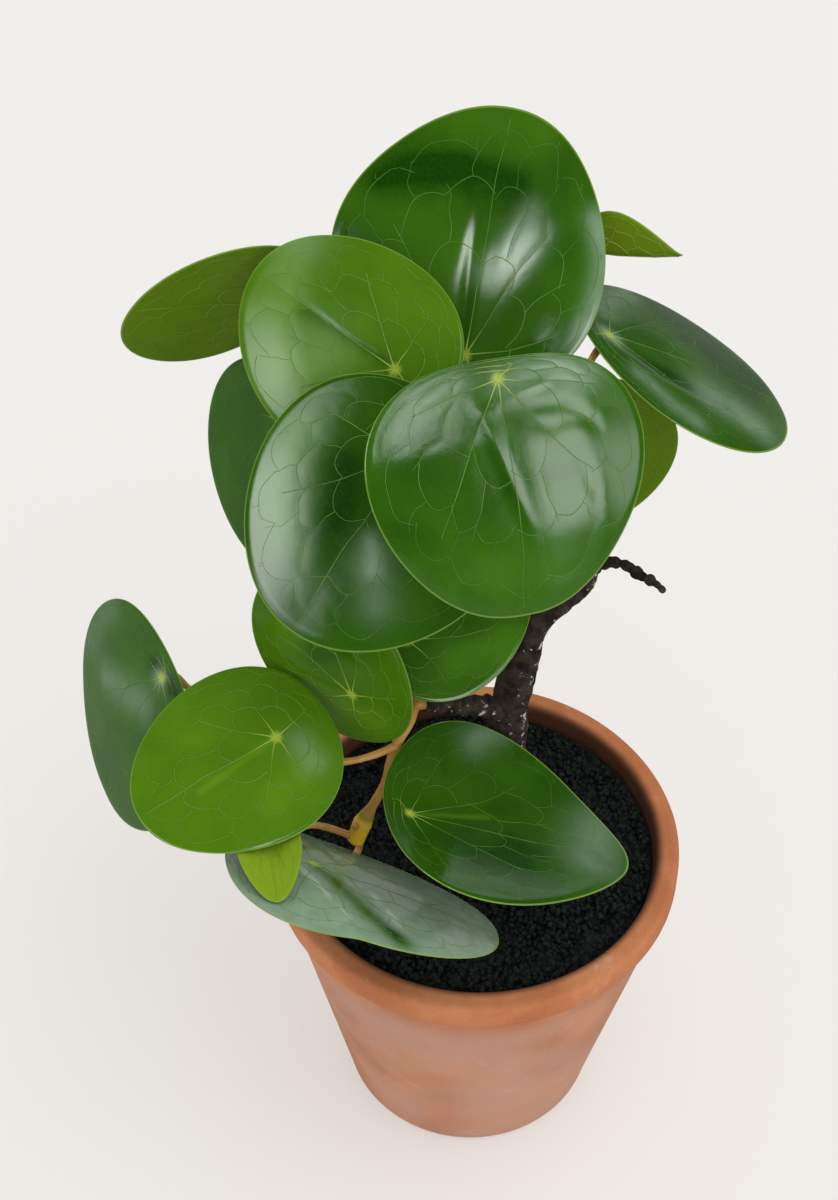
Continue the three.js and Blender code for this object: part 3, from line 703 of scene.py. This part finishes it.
def relief(leaf, x, y, veins):
    # how far the blade stands up at a place: sunk along its veins, quilted between, folded where told
    near = np.full(x.shape, 99.0)
    for line, width in veins:
        thick = width[0] > veinLook["fineBelow"]
        pace = 2 if thick else 3
        for a, b in zip(line[:-1:pace], line[pace::pace]):
            d = fromSegment(x, y, a, b)[0]
            near = np.minimum(near, d * (1 if thick else 1.6))
    start, full = bladeLook["grooveStart"], bladeLook["grooveFull"]
    depth = bladeLook["grooveDepth"] * np.clip((np.hypot(x, y) - start) / (full - start), 0, 1)
    groove = depth * np.exp(-(near / bladeLook["grooveWidth"]) ** 2)
    quilt = leaf.get("quilt", bladeLook["quilt"]) * (1 - np.exp(-(near / bladeLook["quiltWidth"]) ** 2))
    return quilt - groove + marksOn(x, y, leaf.get("folds", ()), True)


def gridFaces(rings, spokes):
    # hub at 0, then rings of spokes
    j = np.arange(spokes)
    k = (j + 1) % spokes
    faces = [(0, 1 + a, 1 + b) for a, b in zip(j, k)]
    for i in range(rings - 1):
        a, b = 1 + i * spokes, 1 + (i + 1) * spokes
        faces += [(a + p, b + p, b + q, a + q) for p, q in zip(j, k)]
    return faces


def bladePoints(leaf, x, y, share):
    # the upper skin, the lower skin, then the ring of the edge between them
    spokes = bladeLook["spokes"]
    chains = [chainOnBlade(leaf, chain) for chain in veinNet(leaf)]
    margin = np.clip((1 - share) / bladeLook["marginWidth"], 0, 1)
    height = relief(leaf, x, y, chains) * np.clip(share / bladeLook["flatHub"], 0, 1) * margin
    half = bladeLook["thickness"] / 2 * (bladeLook["marginShare"] + (1 - bladeLook["marginShare"]) * margin)
    top, bottom = (toWorld(leaf, x, y, height + offset) for offset in (half, -half))
    edge = (top[-spokes:] + bottom[-spokes:]) / 2
    edge += (edge - (top[-2 * spokes:-spokes] + bottom[-2 * spokes:-spokes]) / 2) * bladeLook["edgeBulge"]
    return np.vstack([top, bottom, edge]) * mm, chains


def closedFaces(upper, count, spokes):
    # both skins and the strips that join them round the edge
    faces = list(upper) + [tuple(v + count for v in reversed(face)) for face in upper]
    first = count - spokes
    for j in range(spokes):
        k = (j + 1) % spokes
        a, b, c, d = first + j, first + k, first + count + j, first + count + k
        e, f = 2 * count + j, 2 * count + k
        faces += [(a, e, f, b), (e, c, d, f)]
    return faces


def markBlade(mesh, leaf, x, y, share):
    # what the leaf materials read: place on the flat blade, side, tone with its painted light and shade, bloom
    # that paints a pale sheen of reflected light, and a slice of the noise
    spokes, count = bladeLook["spokes"], len(x)

    def onAll(values):
        return np.concatenate([values, values, values[-spokes:]])

    bloom = np.clip(leaf.get("paintedSheenAllOver", 0) + marksOn(x, y, leaf.get("bloom", ())), 0, 1)
    giveValues(mesh, "bloom", np.concatenate([bloom, 0 * bloom, bloom[-spokes:]]))
    giveValues(mesh, "leafPlace", onAll(np.column_stack([x * mm, y * mm, share])), "FLOAT_VECTOR")
    giveValues(mesh, "underside", np.concatenate([np.zeros(count), np.ones(count), np.full(spokes, 0.5)]))
    # the tone is the leaf's own green plus its shades, which are mostly painted light and shade
    giveValues(mesh, "tone", onAll(leaf["tone"] + marksOn(x, y, leaf.get("shades", ()))))
    giveValues(mesh, "variant", np.full(2 * count + spokes, leaf["seed"] * 0.37))


def makeVeins(name, leaf, chains):
    # on both skins
    lines = []
    for line, width in chains:
        height = relief(leaf, line[:, 0], line[:, 1], chains)
        for side, wide in ((1, veinLook["above"]), (-1, veinLook["below"])):
            lift = side * (bladeLook["thickness"] / 2 + veinLook["lift"])
            route = toWorld(leaf, line[:, 0], line[:, 1], height + lift)
            lines.append((route, width * wide, np.hypot(*line.T)))
    veins = makeTubes(f"veins_{name}", lines, veinMaterials[leaf["finish"]], veinLook["sides"])
    dress(veins, leafColours[leaf["finish"]]["slot"])
    return len(veins.data.polygons) * 2


def makeBlade(name, leaf):
    rings, spokes = bladeLook["rings"], bladeLook["spokes"]
    share = np.concatenate([[0], np.repeat(np.arange(1, rings + 1) / rings, spokes)])
    share = 1 - (1 - share) ** bladeLook["ringBias"]
    angle = np.concatenate([[0], np.tile(2 * np.pi * np.arange(spokes) / spokes, rings)])
    x, y = flatPoint(leaf, share, angle)
    points, chains = bladePoints(leaf, x, y, share)
    upper = gridFaces(rings, spokes)
    mesh = meshFrom(f"blade_{name}", points, closedFaces(upper, len(x), spokes))
    mesh.shade_smooth()
    markBlade(mesh, leaf, x, y, share)
    for material in leafMaterials[leaf["finish"]]:
        mesh.materials.append(material)
    lower = np.zeros(len(mesh.polygons), np.int32)
    lower[len(upper):2 * len(upper)] = 1
    mesh.polygons.foreach_set("material_index", lower)
    turnOutward(mesh)
    dress(addObject(f"blade_{name}", mesh), leafColours[leaf["finish"]]["slot"], f"leaf_{name}")
    return len(mesh.polygons) * 2, makeVeins(name, leaf, chains)


leafColours = {
    "leafDark": {"slot": "leaf_dark", "deep": (20, 64, 1), "light": (70, 124, 18), "under": (92, 122, 14),
                 "vein": (96, 144, 44), "gloss": 0.5},
    "leafLight": {"slot": "leaf_light", "deep": (44, 94, 2), "light": (98, 144, 24), "under": (98, 132, 4),
                  "vein": (112, 156, 44), "gloss": 0.25},
    "leafYoung": {"slot": "leaf_young", "deep": (98, 136, 12), "light": (134, 168, 34),
                  "under": (108, 140, 14), "vein": (138, 168, 48), "gloss": 0.3},
}

# colours and sizes that all blades share; bloom is the pale colour of the painted sheen; the scales are the
# noise's, and hubGlow is in metres
leafDetail = {
    "margin": (132, 168, 70), "hub": (176, 200, 74), "bloom": (154, 178, 156),
    "patchScale": 45, "netScale": 620, "sheenScale": 160, "grainScale": 2600, "softScale": 300,
    "hubGlow": (0.0004, 0.0026), "roughness": (0.08, 0.12), "underRoughness": 0.4, "underGloss": 0.12,
}


def leafGroup():
    # colour and skin of a blade, from its place on the flat blade
    group, given, out = newGroup(
        "leafSkin",
        [(label, "colour", None) for label in ("Deep", "Light", "Under", "Vein", "Margin", "Hub", "PaintedSheen")],
        [("Colour", "colour"), ("Height", "value"), ("Roughness", "value")])

    def mark(label, output="Fac"):
        return addNode(group, "ShaderNodeAttribute", attribute_name=label).outputs[output]

    x, y, share = addNode(group, "ShaderNodeSeparateXYZ", {0: mark("leafPlace", "Vector")}).outputs
    under = mark("underside")
    flat = addNode(group, "ShaderNodeCombineXYZ", {"X": x, "Y": y, "Z": mark("variant")}).outputs[0]
    level = addNode(group, "ShaderNodeCombineXYZ", {"X": x, "Y": y}).outputs[0]
    fromHub = addNode(group, "ShaderNodeVectorMath", {0: level}, operation="LENGTH").outputs["Value"]
    patches = noise(group, flat, leafDetail["patchScale"], 3, 0.5, 0.6)
    patches = between(group, patches, 0.3, 0.75, -0.16, 0.16, False)
    # the tone carries the painted light and shade of the shades as well as the leaf's own green
    tone = calc(group, "ADD", patches, mark("tone"), True)
    colour = blendColour(group, tone, given["Deep"], given["Light"])
    # a fine net of the smallest veins
    net = addNode(group, "ShaderNodeTexVoronoi",
                  {"Vector": flat, "Scale": leafDetail["netScale"], "Randomness": 1.0},
                  feature="DISTANCE_TO_EDGE").outputs["Distance"]
    netMask = between(group, net, 0.0, 0.09, 1.0, 0.0)
    colour = blendColour(group, calc(group, "MULTIPLY", netMask, 0.07), colour, given["Vein"])
    colour = blendColour(group, calc(group, "MULTIPLY", under, 0.85), colour, given["Under"])
    # painted sheen: pale patches that stand for reflected light, in places
    clouds = between(group, noise(group, flat, leafDetail["sheenScale"], 3, 0.6, 0.5), 0.25, 0.7, 0.75, 1.0)
    colour = blendColour(group, calc(group, "MULTIPLY", mark("bloom"), clouds), colour, given["PaintedSheen"])
    glow = between(group, fromHub, *leafDetail["hubGlow"], 0.85, 0.0)
    colour = blendColour(group, glow, colour, given["Hub"])
    rim = between(group, share, 0.988, 0.998, 0.0, 0.75)
    colour = blendColour(group, rim, colour, given["Margin"])
    grain = noise(group, flat, leafDetail["grainScale"], 2, 0.6)
    soft = noise(group, flat, leafDetail["softScale"], 2, 0.5)
    height = calc(group, "ADD", calc(group, "MULTIPLY", grain, 0.25), calc(group, "MULTIPLY", soft, 0.6))
    height = calc(group, "SUBTRACT", height, calc(group, "MULTIPLY", netMask, 0.06))
    rough = between(group, grain, 0.3, 0.7, *leafDetail["roughness"])
    rough = calc(group, "ADD", rough, calc(group, "MULTIPLY", under, leafDetail["underRoughness"]))
    group.links.new(colour, out["Colour"])
    group.links.new(height, out["Height"])
    group.links.new(rough, out["Roughness"])
    return group


leafSkin = leafGroup()


def leafMaterial(name, dull=False):
    # the underside's is duller
    material, tree, shader = newMaterial(f"{name}Under" if dull else name)
    colours = leafColours[name]
    skin = placeGroup(tree, leafSkin, {
        "Deep": rgb(*colours["deep"]), "Light": rgb(*colours["light"]), "Under": rgb(*colours["under"]),
        "Vein": rgb(*colours["vein"]), "Margin": rgb(*leafDetail["margin"]), "Hub": rgb(*leafDetail["hub"]),
        "PaintedSheen": rgb(*leafDetail["bloom"])})
    tree.links.new(skin["Colour"], shader.inputs["Base Color"])
    tree.links.new(skin["Roughness"], shader.inputs["Roughness"])
    bump = addNode(tree, "ShaderNodeBump", {"Height": skin["Height"], "Strength": 0.3, "Distance": 0.00008})
    tree.links.new(bump.outputs[0], shader.inputs["Normal"])
    shader.inputs["Specular IOR Level"].default_value = leafDetail["underGloss"] if dull else colours["gloss"]
    return material


def veinMaterial(name):
    # paler near the hub, where the veins meet in a star
    material, tree, shader = newMaterial(f"{name}Vein")
    place = addNode(tree, "ShaderNodeTexCoord").outputs["Object"]
    shades = placeGroup(tree, mottle, {
        "Place": place, "Patch Scale": 60.0, "Speck Scale": 900.0, "First": rgb(*leafColours[name]["light"]),
        "Second": rgb(*leafColours[name]["vein"]), "Speck Amount": 0.4})
    fromHub = addNode(tree, "ShaderNodeAttribute", attribute_name="along").outputs["Fac"]
    star = between(tree, fromHub, 1.5, 9.0, 0.9, 0.0)
    colour = blendColour(tree, star, shades["Colour"], rgb(*leafDetail["hub"]))
    tree.links.new(colour, shader.inputs["Base Color"])
    shader.inputs["Roughness"].default_value = 0.4
    return material


leafMaterials = {name: [leafMaterial(name), leafMaterial(name, True)] for name in leafColours}
veinMaterials = {name: veinMaterial(name) for name in leafColours}
made = [makeBlade(name, leaf) for name, leaf in leaves.items()]
bladeCount, veinCount = (sum(counts) for counts in zip(*made))
print(f"{len(leaves)} leaf blades: {bladeCount} triangles, veins {veinCount}")

# ---- stalks and the lower stem

stalkLook = {
    "radius": 1.1, "flare": 0.5, "steps": 60, "sides": 14, "straightEnd": 4.5, "uneven": 0.05, "sunk": 0.1,
}

stemColours = {
    "tan": (212, 164, 98), "ochre": (192, 140, 56), "green": (128, 146, 44), "dark": (140, 96, 44),
    "gold": (248, 202, 52),
}


def stalkMaterial():
    material, tree, shader = newMaterial("stalkSkin")
    place = addNode(tree, "ShaderNodeTexCoord").outputs["Object"]
    along = addNode(tree, "ShaderNodeAttribute", attribute_name="along").outputs["Fac"]
    shades = placeGroup(tree, mottle, {
        "Place": place, "Patch Scale": 120.0, "Speck Scale": 1500.0, "First": rgb(*stemColours["ochre"]),
        "Second": rgb(*stemColours["tan"]), "Speck Amount": 0.6})
    greenEnd = between(tree, along, 0.75, 1.0, 0.0, 0.5)
    colour = blendColour(tree, greenEnd, shades["Colour"], rgb(*stemColours["green"]))
    flecks = between(tree, shades["Specks"], 0.62, 0.75, 0.0, 0.5)
    colour = blendColour(tree, flecks, colour, rgb(*stemColours["dark"]))
    ripe = between(tree, along, 1.1, 1.8, 0.0, 1.0)
    colour = blendColour(tree, ripe, colour, rgb(*stemColours["gold"]))
    tree.links.new(colour, shader.inputs["Base Color"])
    shader.inputs["Roughness"].default_value = 0.45
    shader.inputs["Specular IOR Level"].default_value = 0.3
    stretched = addNode(tree, "ShaderNodeMapping", {"Vector": place, "Scale": (900, 900, 250)}).outputs[0]
    fibres = noise(tree, stretched, 1.0, 2, 0.5)
    bump = addNode(tree, "ShaderNodeBump", {"Height": fibres, "Strength": 0.4, "Distance": 0.0002})
    tree.links.new(bump.outputs[0], shader.inputs["Normal"])
    return material


stalkSkin = stalkMaterial()


def smoothStep(low, high, x):
    t = np.clip((x - low) / (high - low), 0, 1)
    return t * t * (3 - 2 * t)


def makeStalk(name, leaf):
    out = bladeFrame(leaf)[2]
    hub = np.array(leaf["hub"])
    end = hub - out * (bladeLook["thickness"] / 2 - stalkLook["sunk"])
    route = smoothRoute([*leaf["stalk"], hub - out * stalkLook["straightEnd"], end], stalkLook["steps"])
    s = np.linspace(0, 1, len(route))
    radii = stalkLook["radius"] + stalkLook["flare"] * (1 - smoothStep(0, 0.12, s) + smoothStep(0.92, 1, s))
    radii = radii * (1 + stalkLook["uneven"] * np.sin(s * 23 + leaf["seed"]))
    stalk = makeTubes(f"petiole_{name}", [(route, radii)], stalkSkin, stalkLook["sides"])
    dress(stalk, "stalk", f"stalk_{name}")


for name, leaf in leaves.items():
    makeStalk(name, leaf)

lowerStem = {
    "route": [(-16.5, -4.5, 187), (-19.5, -5, 187), (-21.5, -7.5, 182), (-24.5, -10.5, 177), (-26.5, -13, 172),
              (-28.5, -16.5, 164), (-32, -18.5, 156.5), (-35.5, -20.5, 149), (-37.5, -23, 144)],
    "radii": [1.9, 1.8, 1.6, 1.5, 1.4, 1.4, 1.5, 3, 2.6],
    "stub": [(-35.5, -20.5, 149), (-36.8, -22, 150.5), (-38, -24, 151.5)], "stubRadii": [1.5, 1.1, 0.9],
    "steps": 120, "stubSteps": 16, "ripeFrom": 0.72, "ripeTo": 0.9, "knobs": 0.25, "knobScale": 500,
}


def makeLowerStem():
    steps, stubSteps = lowerStem["steps"], lowerStem["stubSteps"]
    route, stub = smoothRoute(lowerStem["route"], steps), smoothRoute(lowerStem["stub"], stubSteps)
    # marks above 1 turn the swollen joint golden
    ripe = 2 * smoothStep(lowerStem["ripeFrom"], lowerStem["ripeTo"], np.linspace(0, 1, steps + 1))
    chains = [(route, radiiAlong(lowerStem["radii"], steps + 1), ripe),
              (stub, radiiAlong(lowerStem["stubRadii"], stubSteps + 1), np.zeros(stubSteps + 1))]
    stem = makeTubes("hangingStem", chains, stalkSkin, 18, lowerStem["knobs"], lowerStem["knobScale"])
    dress(stem, "stalk", "lower_stem")


makeLowerStem()
print("stalks and lower stem are made")

# ---- woody stem

wood = {
    "trunk": {
        "route": [(4, 3, 62), (5, 4, 90), (7, 5, 125), (8.5, 5.5, 155), (9, 6, 175), (12, 9.5, 191),
                  (14.5, 11, 201.5), (18.5, 12, 208.5), (24, 13, 213.5), (29.5, 14.5, 218), (31, 16, 227),
                  (27, 18, 238), (20, 22, 250), (14, 24, 263), (11, 25, 274)],
        "radii": [5.8, 5.8, 5.8, 5.8, 5.8, 5.8, 5.9, 6, 5.3, 4.1, 2.4, 2.1, 2, 2, 1.6],
        "steps": 260, "lumps": 0.04},
    "lowBranch": {
        "route": [(9, 5, 172), (3, 3, 177), (-4, 0, 181), (-11, -2.5, 184.5), (-17, -4.5, 187)],
        "radii": [4, 3.4, 2.9, 3.1, 2.4], "steps": 60, "lumps": 0.1},
    "twig": {
        "route": [(30, 14.5, 222), (32.5, 11, 231), (35.5, 6, 237), (39, 1.5, 240.5), (42.5, -5.5, 243.8),
                  (46, -11, 246.5), (48, -15.5, 248.3)],
        "radii": [1.9, 1.7, 1.8, 1.3, 1.6, 1.3, 0.8], "steps": 90, "lumps": 0.16},
    "knobs": 1.1, "knobScale": 330, "ridges": 0.5, "seed": 3, "sides": 36,
    "lichenScale": 300, "lichenSide": (0.85, -0.4, -0.2),  # the side that more lichen grows on
    "bark": (30, 24, 22), "barkLight": (70, 58, 50), "lichen": (206, 200, 178),
}


def barkMaterial():
    material, tree, shader = newMaterial("bark")
    place = addNode(tree, "ShaderNodeTexCoord").outputs["Object"]
    shades = placeGroup(tree, mottle, {
        "Place": place, "Patch Scale": 260.0, "Speck Scale": 1400.0, "First": rgb(*wood["bark"]),
        "Second": rgb(*wood["barkLight"]), "Speck Amount": 0.9})
    normal = addNode(tree, "ShaderNodeNewGeometry").outputs["Normal"]
    side = addNode(tree, "ShaderNodeVectorMath", {0: normal, 1: wood["lichenSide"]}, operation="DOT_PRODUCT")
    spots = calc(tree, "ADD", noise(tree, place, wood["lichenScale"], 4, 0.75),
                 calc(tree, "MULTIPLY", side.outputs["Value"], 0.12))
    lichen = between(tree, spots, 0.67, 0.71)
    colour = blendColour(tree, lichen, shades["Colour"], rgb(*wood["lichen"]))
    tree.links.new(colour, shader.inputs["Base Color"])
    shader.inputs["Roughness"].default_value = 0.85
    shader.inputs["Specular IOR Level"].default_value = 0.2
    height = calc(tree, "ADD", noise(tree, place, 1500, 4, 0.65), lichen)
    bump = addNode(tree, "ShaderNodeBump", {"Height": height, "Strength": 0.7, "Distance": 0.0006})
    tree.links.new(bump.outputs[0], shader.inputs["Normal"])
    return material


def makeWood():
    chains = []
    for part in (wood["trunk"], wood["lowBranch"], wood["twig"]):
        steps = part["steps"]
        route = smoothRoute(part["route"], steps)
        along = np.linspace(0, 1, steps + 1)
        uneven = 1 + part["lumps"] * (np.sin(along * 47) + 0.7 * np.sin(along * 83 + 1))
        chains.append((route, radiiAlong(part["radii"], steps + 1) * uneven))
    stem = makeTubes("barkedStem", chains, barkMaterial(), wood["sides"], wood["knobs"], wood["knobScale"],
                     wood["ridges"], float(wood["seed"]))
    dress(stem, "bark", "woody_stem")


makeWood()
print("woody stem is made")

# ---- pot

pot = {
    "height": 116, "rimRadius": 65, "wall": 7.5, "bandHeight": 10, "bandStep": 2.5, "innerEdge": 3,
    "lipRadius": 2.5, "baseRadius": 42, "baseEdge": 4, "floor": 8, "sides": 180, "waver": 0.1,
    "fired": (214, 142, 94), "firedDeep": (186, 110, 66), "bloom": (196, 156, 138), "streak": (214, 184, 168),
    "stainAndShade": (76, 42, 22), "stainAndShadeReach": (0.0576, 0.061),  # the stain is partly a damp stain and partly painted shade on the inner wall and lip; the reach is in metres from the pot's axis
}


def potProfile():
    # half of the pot cut through: straight runs and quarter curves, as (radius, height)
    inner = pot["rimRadius"] - pot["wall"]
    innerFloor = pot["baseRadius"] - pot["wall"] + pot["innerEdge"]
    under, bodyTop = pot["height"] - pot["bandHeight"], pot["rimRadius"] - pot["bandStep"]
    high, lip, rim = pot["height"], pot["lipRadius"], pot["rimRadius"]
    base, edge = pot["baseRadius"], pot["baseEdge"]
    spots = [(0, 0), (base / 2, 0), (base - edge, 0)]

    def curve(a, b, c, steps=6):
        a, b, c = (np.array(spot) for spot in (a, b, c))
        for t in np.linspace(0, 1, steps + 1)[1:]:
            spots.append(tuple((1 - t) ** 2 * a + 2 * t * (1 - t) * b + t * t * c))

    def straight(b, steps):
        a = np.array(spots[-1])
        for t in np.linspace(0, 1, steps + 1)[1:]:
            spots.append(tuple(a + (np.array(b) - a) * t))

    curve((base - edge, 0), (base, 0), (base + 0.5, edge))
    straight((bodyTop, under - 0.8), 40)
    straight((rim - 0.6, under), 2)
    straight((rim, under + 1.5), 2)
    straight((rim, high - lip), 6)
    curve((rim, high - lip), (rim, high), (rim - lip, high))
    straight((inner + lip, high), 3)
    curve((inner + lip, high), (inner, high), (inner, high - lip))
    straight((innerFloor, pot["floor"] + pot["innerEdge"]), 24)
    curve(spots[-1], (innerFloor, pot["floor"]), (innerFloor - pot["innerEdge"], pot["floor"]))
    straight((0, pot["floor"]), 3)
    return np.array(spots)


def makePot():
    profile = potProfile()
    sides = pot["sides"]
    turn = 2 * np.pi * np.arange(sides) / sides
    points, rows = [], []
    for radius, z in profile:
        if radius < 1e-6:
            rows.append([len(points)] * sides)
            points.append((0, 0, z))
            continue
        # thrown clay is never quite round
        waver = pot["waver"] * (np.sin(3 * turn + z * 0.03) + 0.6 * np.sin(7 * turn + 1 + z * 0.05))
        r = radius + waver * (z > pot["baseEdge"] + 1)
        rows.append(list(range(len(points), len(points) + sides)))
        points.extend(zip(r * np.cos(turn), r * np.sin(turn), np.full(sides, z)))
    faces = []
    for low, high in zip(rows[:-1], rows[1:]):
        for j in range(sides):
            k = (j + 1) % sides
            corners = [low[j], low[k], high[k], high[j]]
            faces.append(tuple(dict.fromkeys(corners)))
    mesh = meshFrom("claypot", np.array(points) * mm, faces)
    mesh.shade_smooth()
    turnOutward(mesh)
    mesh.materials.append(potMaterial())
    dress(addObject("claypot", mesh), "terracotta", "pot")


def potMaterial():
    material, tree, shader = newMaterial("terracotta")
    place = addNode(tree, "ShaderNodeTexCoord").outputs["Object"]
    height = addNode(tree, "ShaderNodeSeparateXYZ", {0: place}).outputs[2]
    clay = placeGroup(tree, mottle, {
        "Place": place, "Patch Scale": 28.0, "Speck Scale": 900.0, "First": rgb(*pot["firedDeep"]),
        "Second": rgb(*pot["fired"]), "Speck Amount": 0.5})
    # pale bloom on the body, in soft clouds, none on the rim
    clouds = noise(tree, place, 22, 5, 0.6, 0.4)
    onBody = between(tree, height, 0.088, 0.108, 1.0, 0.1)
    bloom = calc(tree, "MULTIPLY", between(tree, clouds, 0.3, 0.65, 0.3, 0.75), onBody)
    colour = blendColour(tree, bloom, clay["Colour"], rgb(*pot["bloom"]))
    streaks = between(tree, noise(tree, place, 75, 4, 0.7), 0.62, 0.75, 0.0, 0.35)
    colour = blendColour(tree, streaks, colour, rgb(*pot["streak"]))
    # the inner wall and the lip beside it are darker: partly a damp stain, partly painted shade in the hollow
    # of the pot
    fromAxis = addNode(tree, "ShaderNodeVectorMath", {0: place, 1: (1, 1, 0)}, operation="MULTIPLY").outputs[0]
    reach = addNode(tree, "ShaderNodeVectorMath", {0: fromAxis}, operation="LENGTH").outputs["Value"]
    inner = between(tree, reach, *pot["stainAndShadeReach"], 0.95, 0.0)
    dampAndShade = calc(tree, "MULTIPLY", inner, between(tree, height, 0.095, 0.1))
    colour = blendColour(tree, dampAndShade, colour, rgb(*pot["stainAndShade"]))
    tree.links.new(colour, shader.inputs["Base Color"])
    shader.inputs["Roughness"].default_value = 0.88
    shader.inputs["Specular IOR Level"].default_value = 0.25
    grit = noise(tree, place, 1300, 3, 0.6)
    turning = addNode(tree, "ShaderNodeMapping", {"Vector": place, "Scale": (0.04, 0.04, 1)}).outputs[0]
    rings = noise(tree, turning, 900, 2, 0.5)
    rough = calc(tree, "ADD", calc(tree, "MULTIPLY", grit, 0.6), calc(tree, "MULTIPLY", rings, 0.5))
    bump = addNode(tree, "ShaderNodeBump", {"Height": rough, "Strength": 0.5, "Distance": 0.0006})
    tree.links.new(bump.outputs[0], shader.inputs["Normal"])
    return material


makePot()
print("pot is made")

# ---- granules

soil = {
    "level": 110, "radius": 56.6, "count": 4200, "size": 1.35, "seed": 4, "shake": 0.5, "heights": (-0.6, 1.5),
    "goldenTurn": 2.39996,  # radians from one grain of the spiral to the next
    "trunkPlace": (6, 4.6), "trunkClear": 6.2, "leanest": (0.55, 0.55, 0.5), "fullest": (1.25, 1.1, 0.95),
    "dark": (9, 12, 9), "blueGrey": (34, 42, 42), "green": (24, 36, 18),
}


def granuleMaterial():
    material, tree, shader = newMaterial("granules")
    place = addNode(tree, "ShaderNodeTexCoord").outputs["Object"]
    shades = placeGroup(tree, mottle, {
        "Place": place, "Patch Scale": 420.0, "Speck Scale": 1300.0, "First": rgb(*soil["dark"]),
        "Second": rgb(*soil["blueGrey"]), "Speck Amount": 0.5})
    greens = between(tree, noise(tree, place, 350, 1, 0.5), 0.6, 0.66, 0.0, 0.8)
    colour = blendColour(tree, greens, shades["Colour"], rgb(*soil["green"]))
    tree.links.new(colour, shader.inputs["Base Color"])
    shader.inputs["Roughness"].default_value = 0.7
    shader.inputs["Specular IOR Level"].default_value = 0.2
    bump = addNode(tree, "ShaderNodeBump", {"Height": noise(tree, place, 2200, 3, 0.6), "Strength": 0.6,
                                            "Distance": 0.0004})
    tree.links.new(bump.outputs[0], shader.inputs["Normal"])
    return material


def granuleTree():
    tree, given, leave = newGeometryTree(
        "granulesOver",
        [("Size", "NodeSocketFloat"), ("Seed", "NodeSocketInt"), ("Material", "NodeSocketMaterial")])
    points = addNode(tree, "GeometryNodeMeshToPoints", {"Mesh": given["Geometry"]})
    grain = addNode(tree, "GeometryNodeMeshIcoSphere", {"Radius": 1.0, "Subdivisions": 1})
    turned = addNode(tree, "FunctionNodeRandomValue", {"Seed": given["Seed"]}, data_type="FLOAT_VECTOR")
    turned.inputs["Max"].default_value = (6.28, 6.28, 6.28)
    stretch = addNode(tree, "FunctionNodeRandomValue", {"Seed": given["Seed"]}, data_type="FLOAT_VECTOR")
    stretch.inputs["Min"].default_value, stretch.inputs["Max"].default_value = soil["leanest"], soil["fullest"]
    size = addNode(tree, "ShaderNodeVectorMath", {0: stretch.outputs[0], "Scale": given["Size"]},
                   operation="SCALE")
    placed = addNode(tree, "GeometryNodeInstanceOnPoints",
                     {"Points": points.outputs[0], "Instance": grain.outputs[0],
                      "Rotation": turned.outputs[0], "Scale": size.outputs[0]})
    endTree(tree, placed.outputs[0], given["Material"], leave)
    return tree


def makeGranules():
    material = granuleMaterial()
    rng = np.random.default_rng(soil["seed"])
    # a sunflower spiral, shaken, keeps the grains evenly packed
    n = np.arange(soil["count"])
    reach = soil["radius"] - soil["size"]
    radius = reach * np.sqrt((n + 0.5) / soil["count"]) + rng.uniform(-soil["shake"], soil["shake"], len(n))
    radius = np.minimum(radius, reach)
    turn = n * soil["goldenTurn"] + rng.uniform(-0.01, 0.01, len(n))
    x, y = radius * np.cos(turn), radius * np.sin(turn)
    z = soil["level"] + rng.uniform(*soil["heights"], len(n))
    clear = np.hypot(x - soil["trunkPlace"][0], y - soil["trunkPlace"][1]) > soil["trunkClear"]
    points = np.column_stack([x, y, z])[clear] * mm
    obj = addObject("looseGranules", meshFrom("looseGranules", points, []))
    runTree(obj, granuleTree(), {"Size": soil["size"] * mm, "Seed": soil["seed"], "Material": material})
    obj.data.shade_flat()
    turnOutward(obj.data)
    dress(obj, "granules")
    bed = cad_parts["soil"]
    bed.data.materials.clear()
    bed.data.materials.append(material)
    return len(points)


print(f"{makeGranules()} granules lie on the bed")
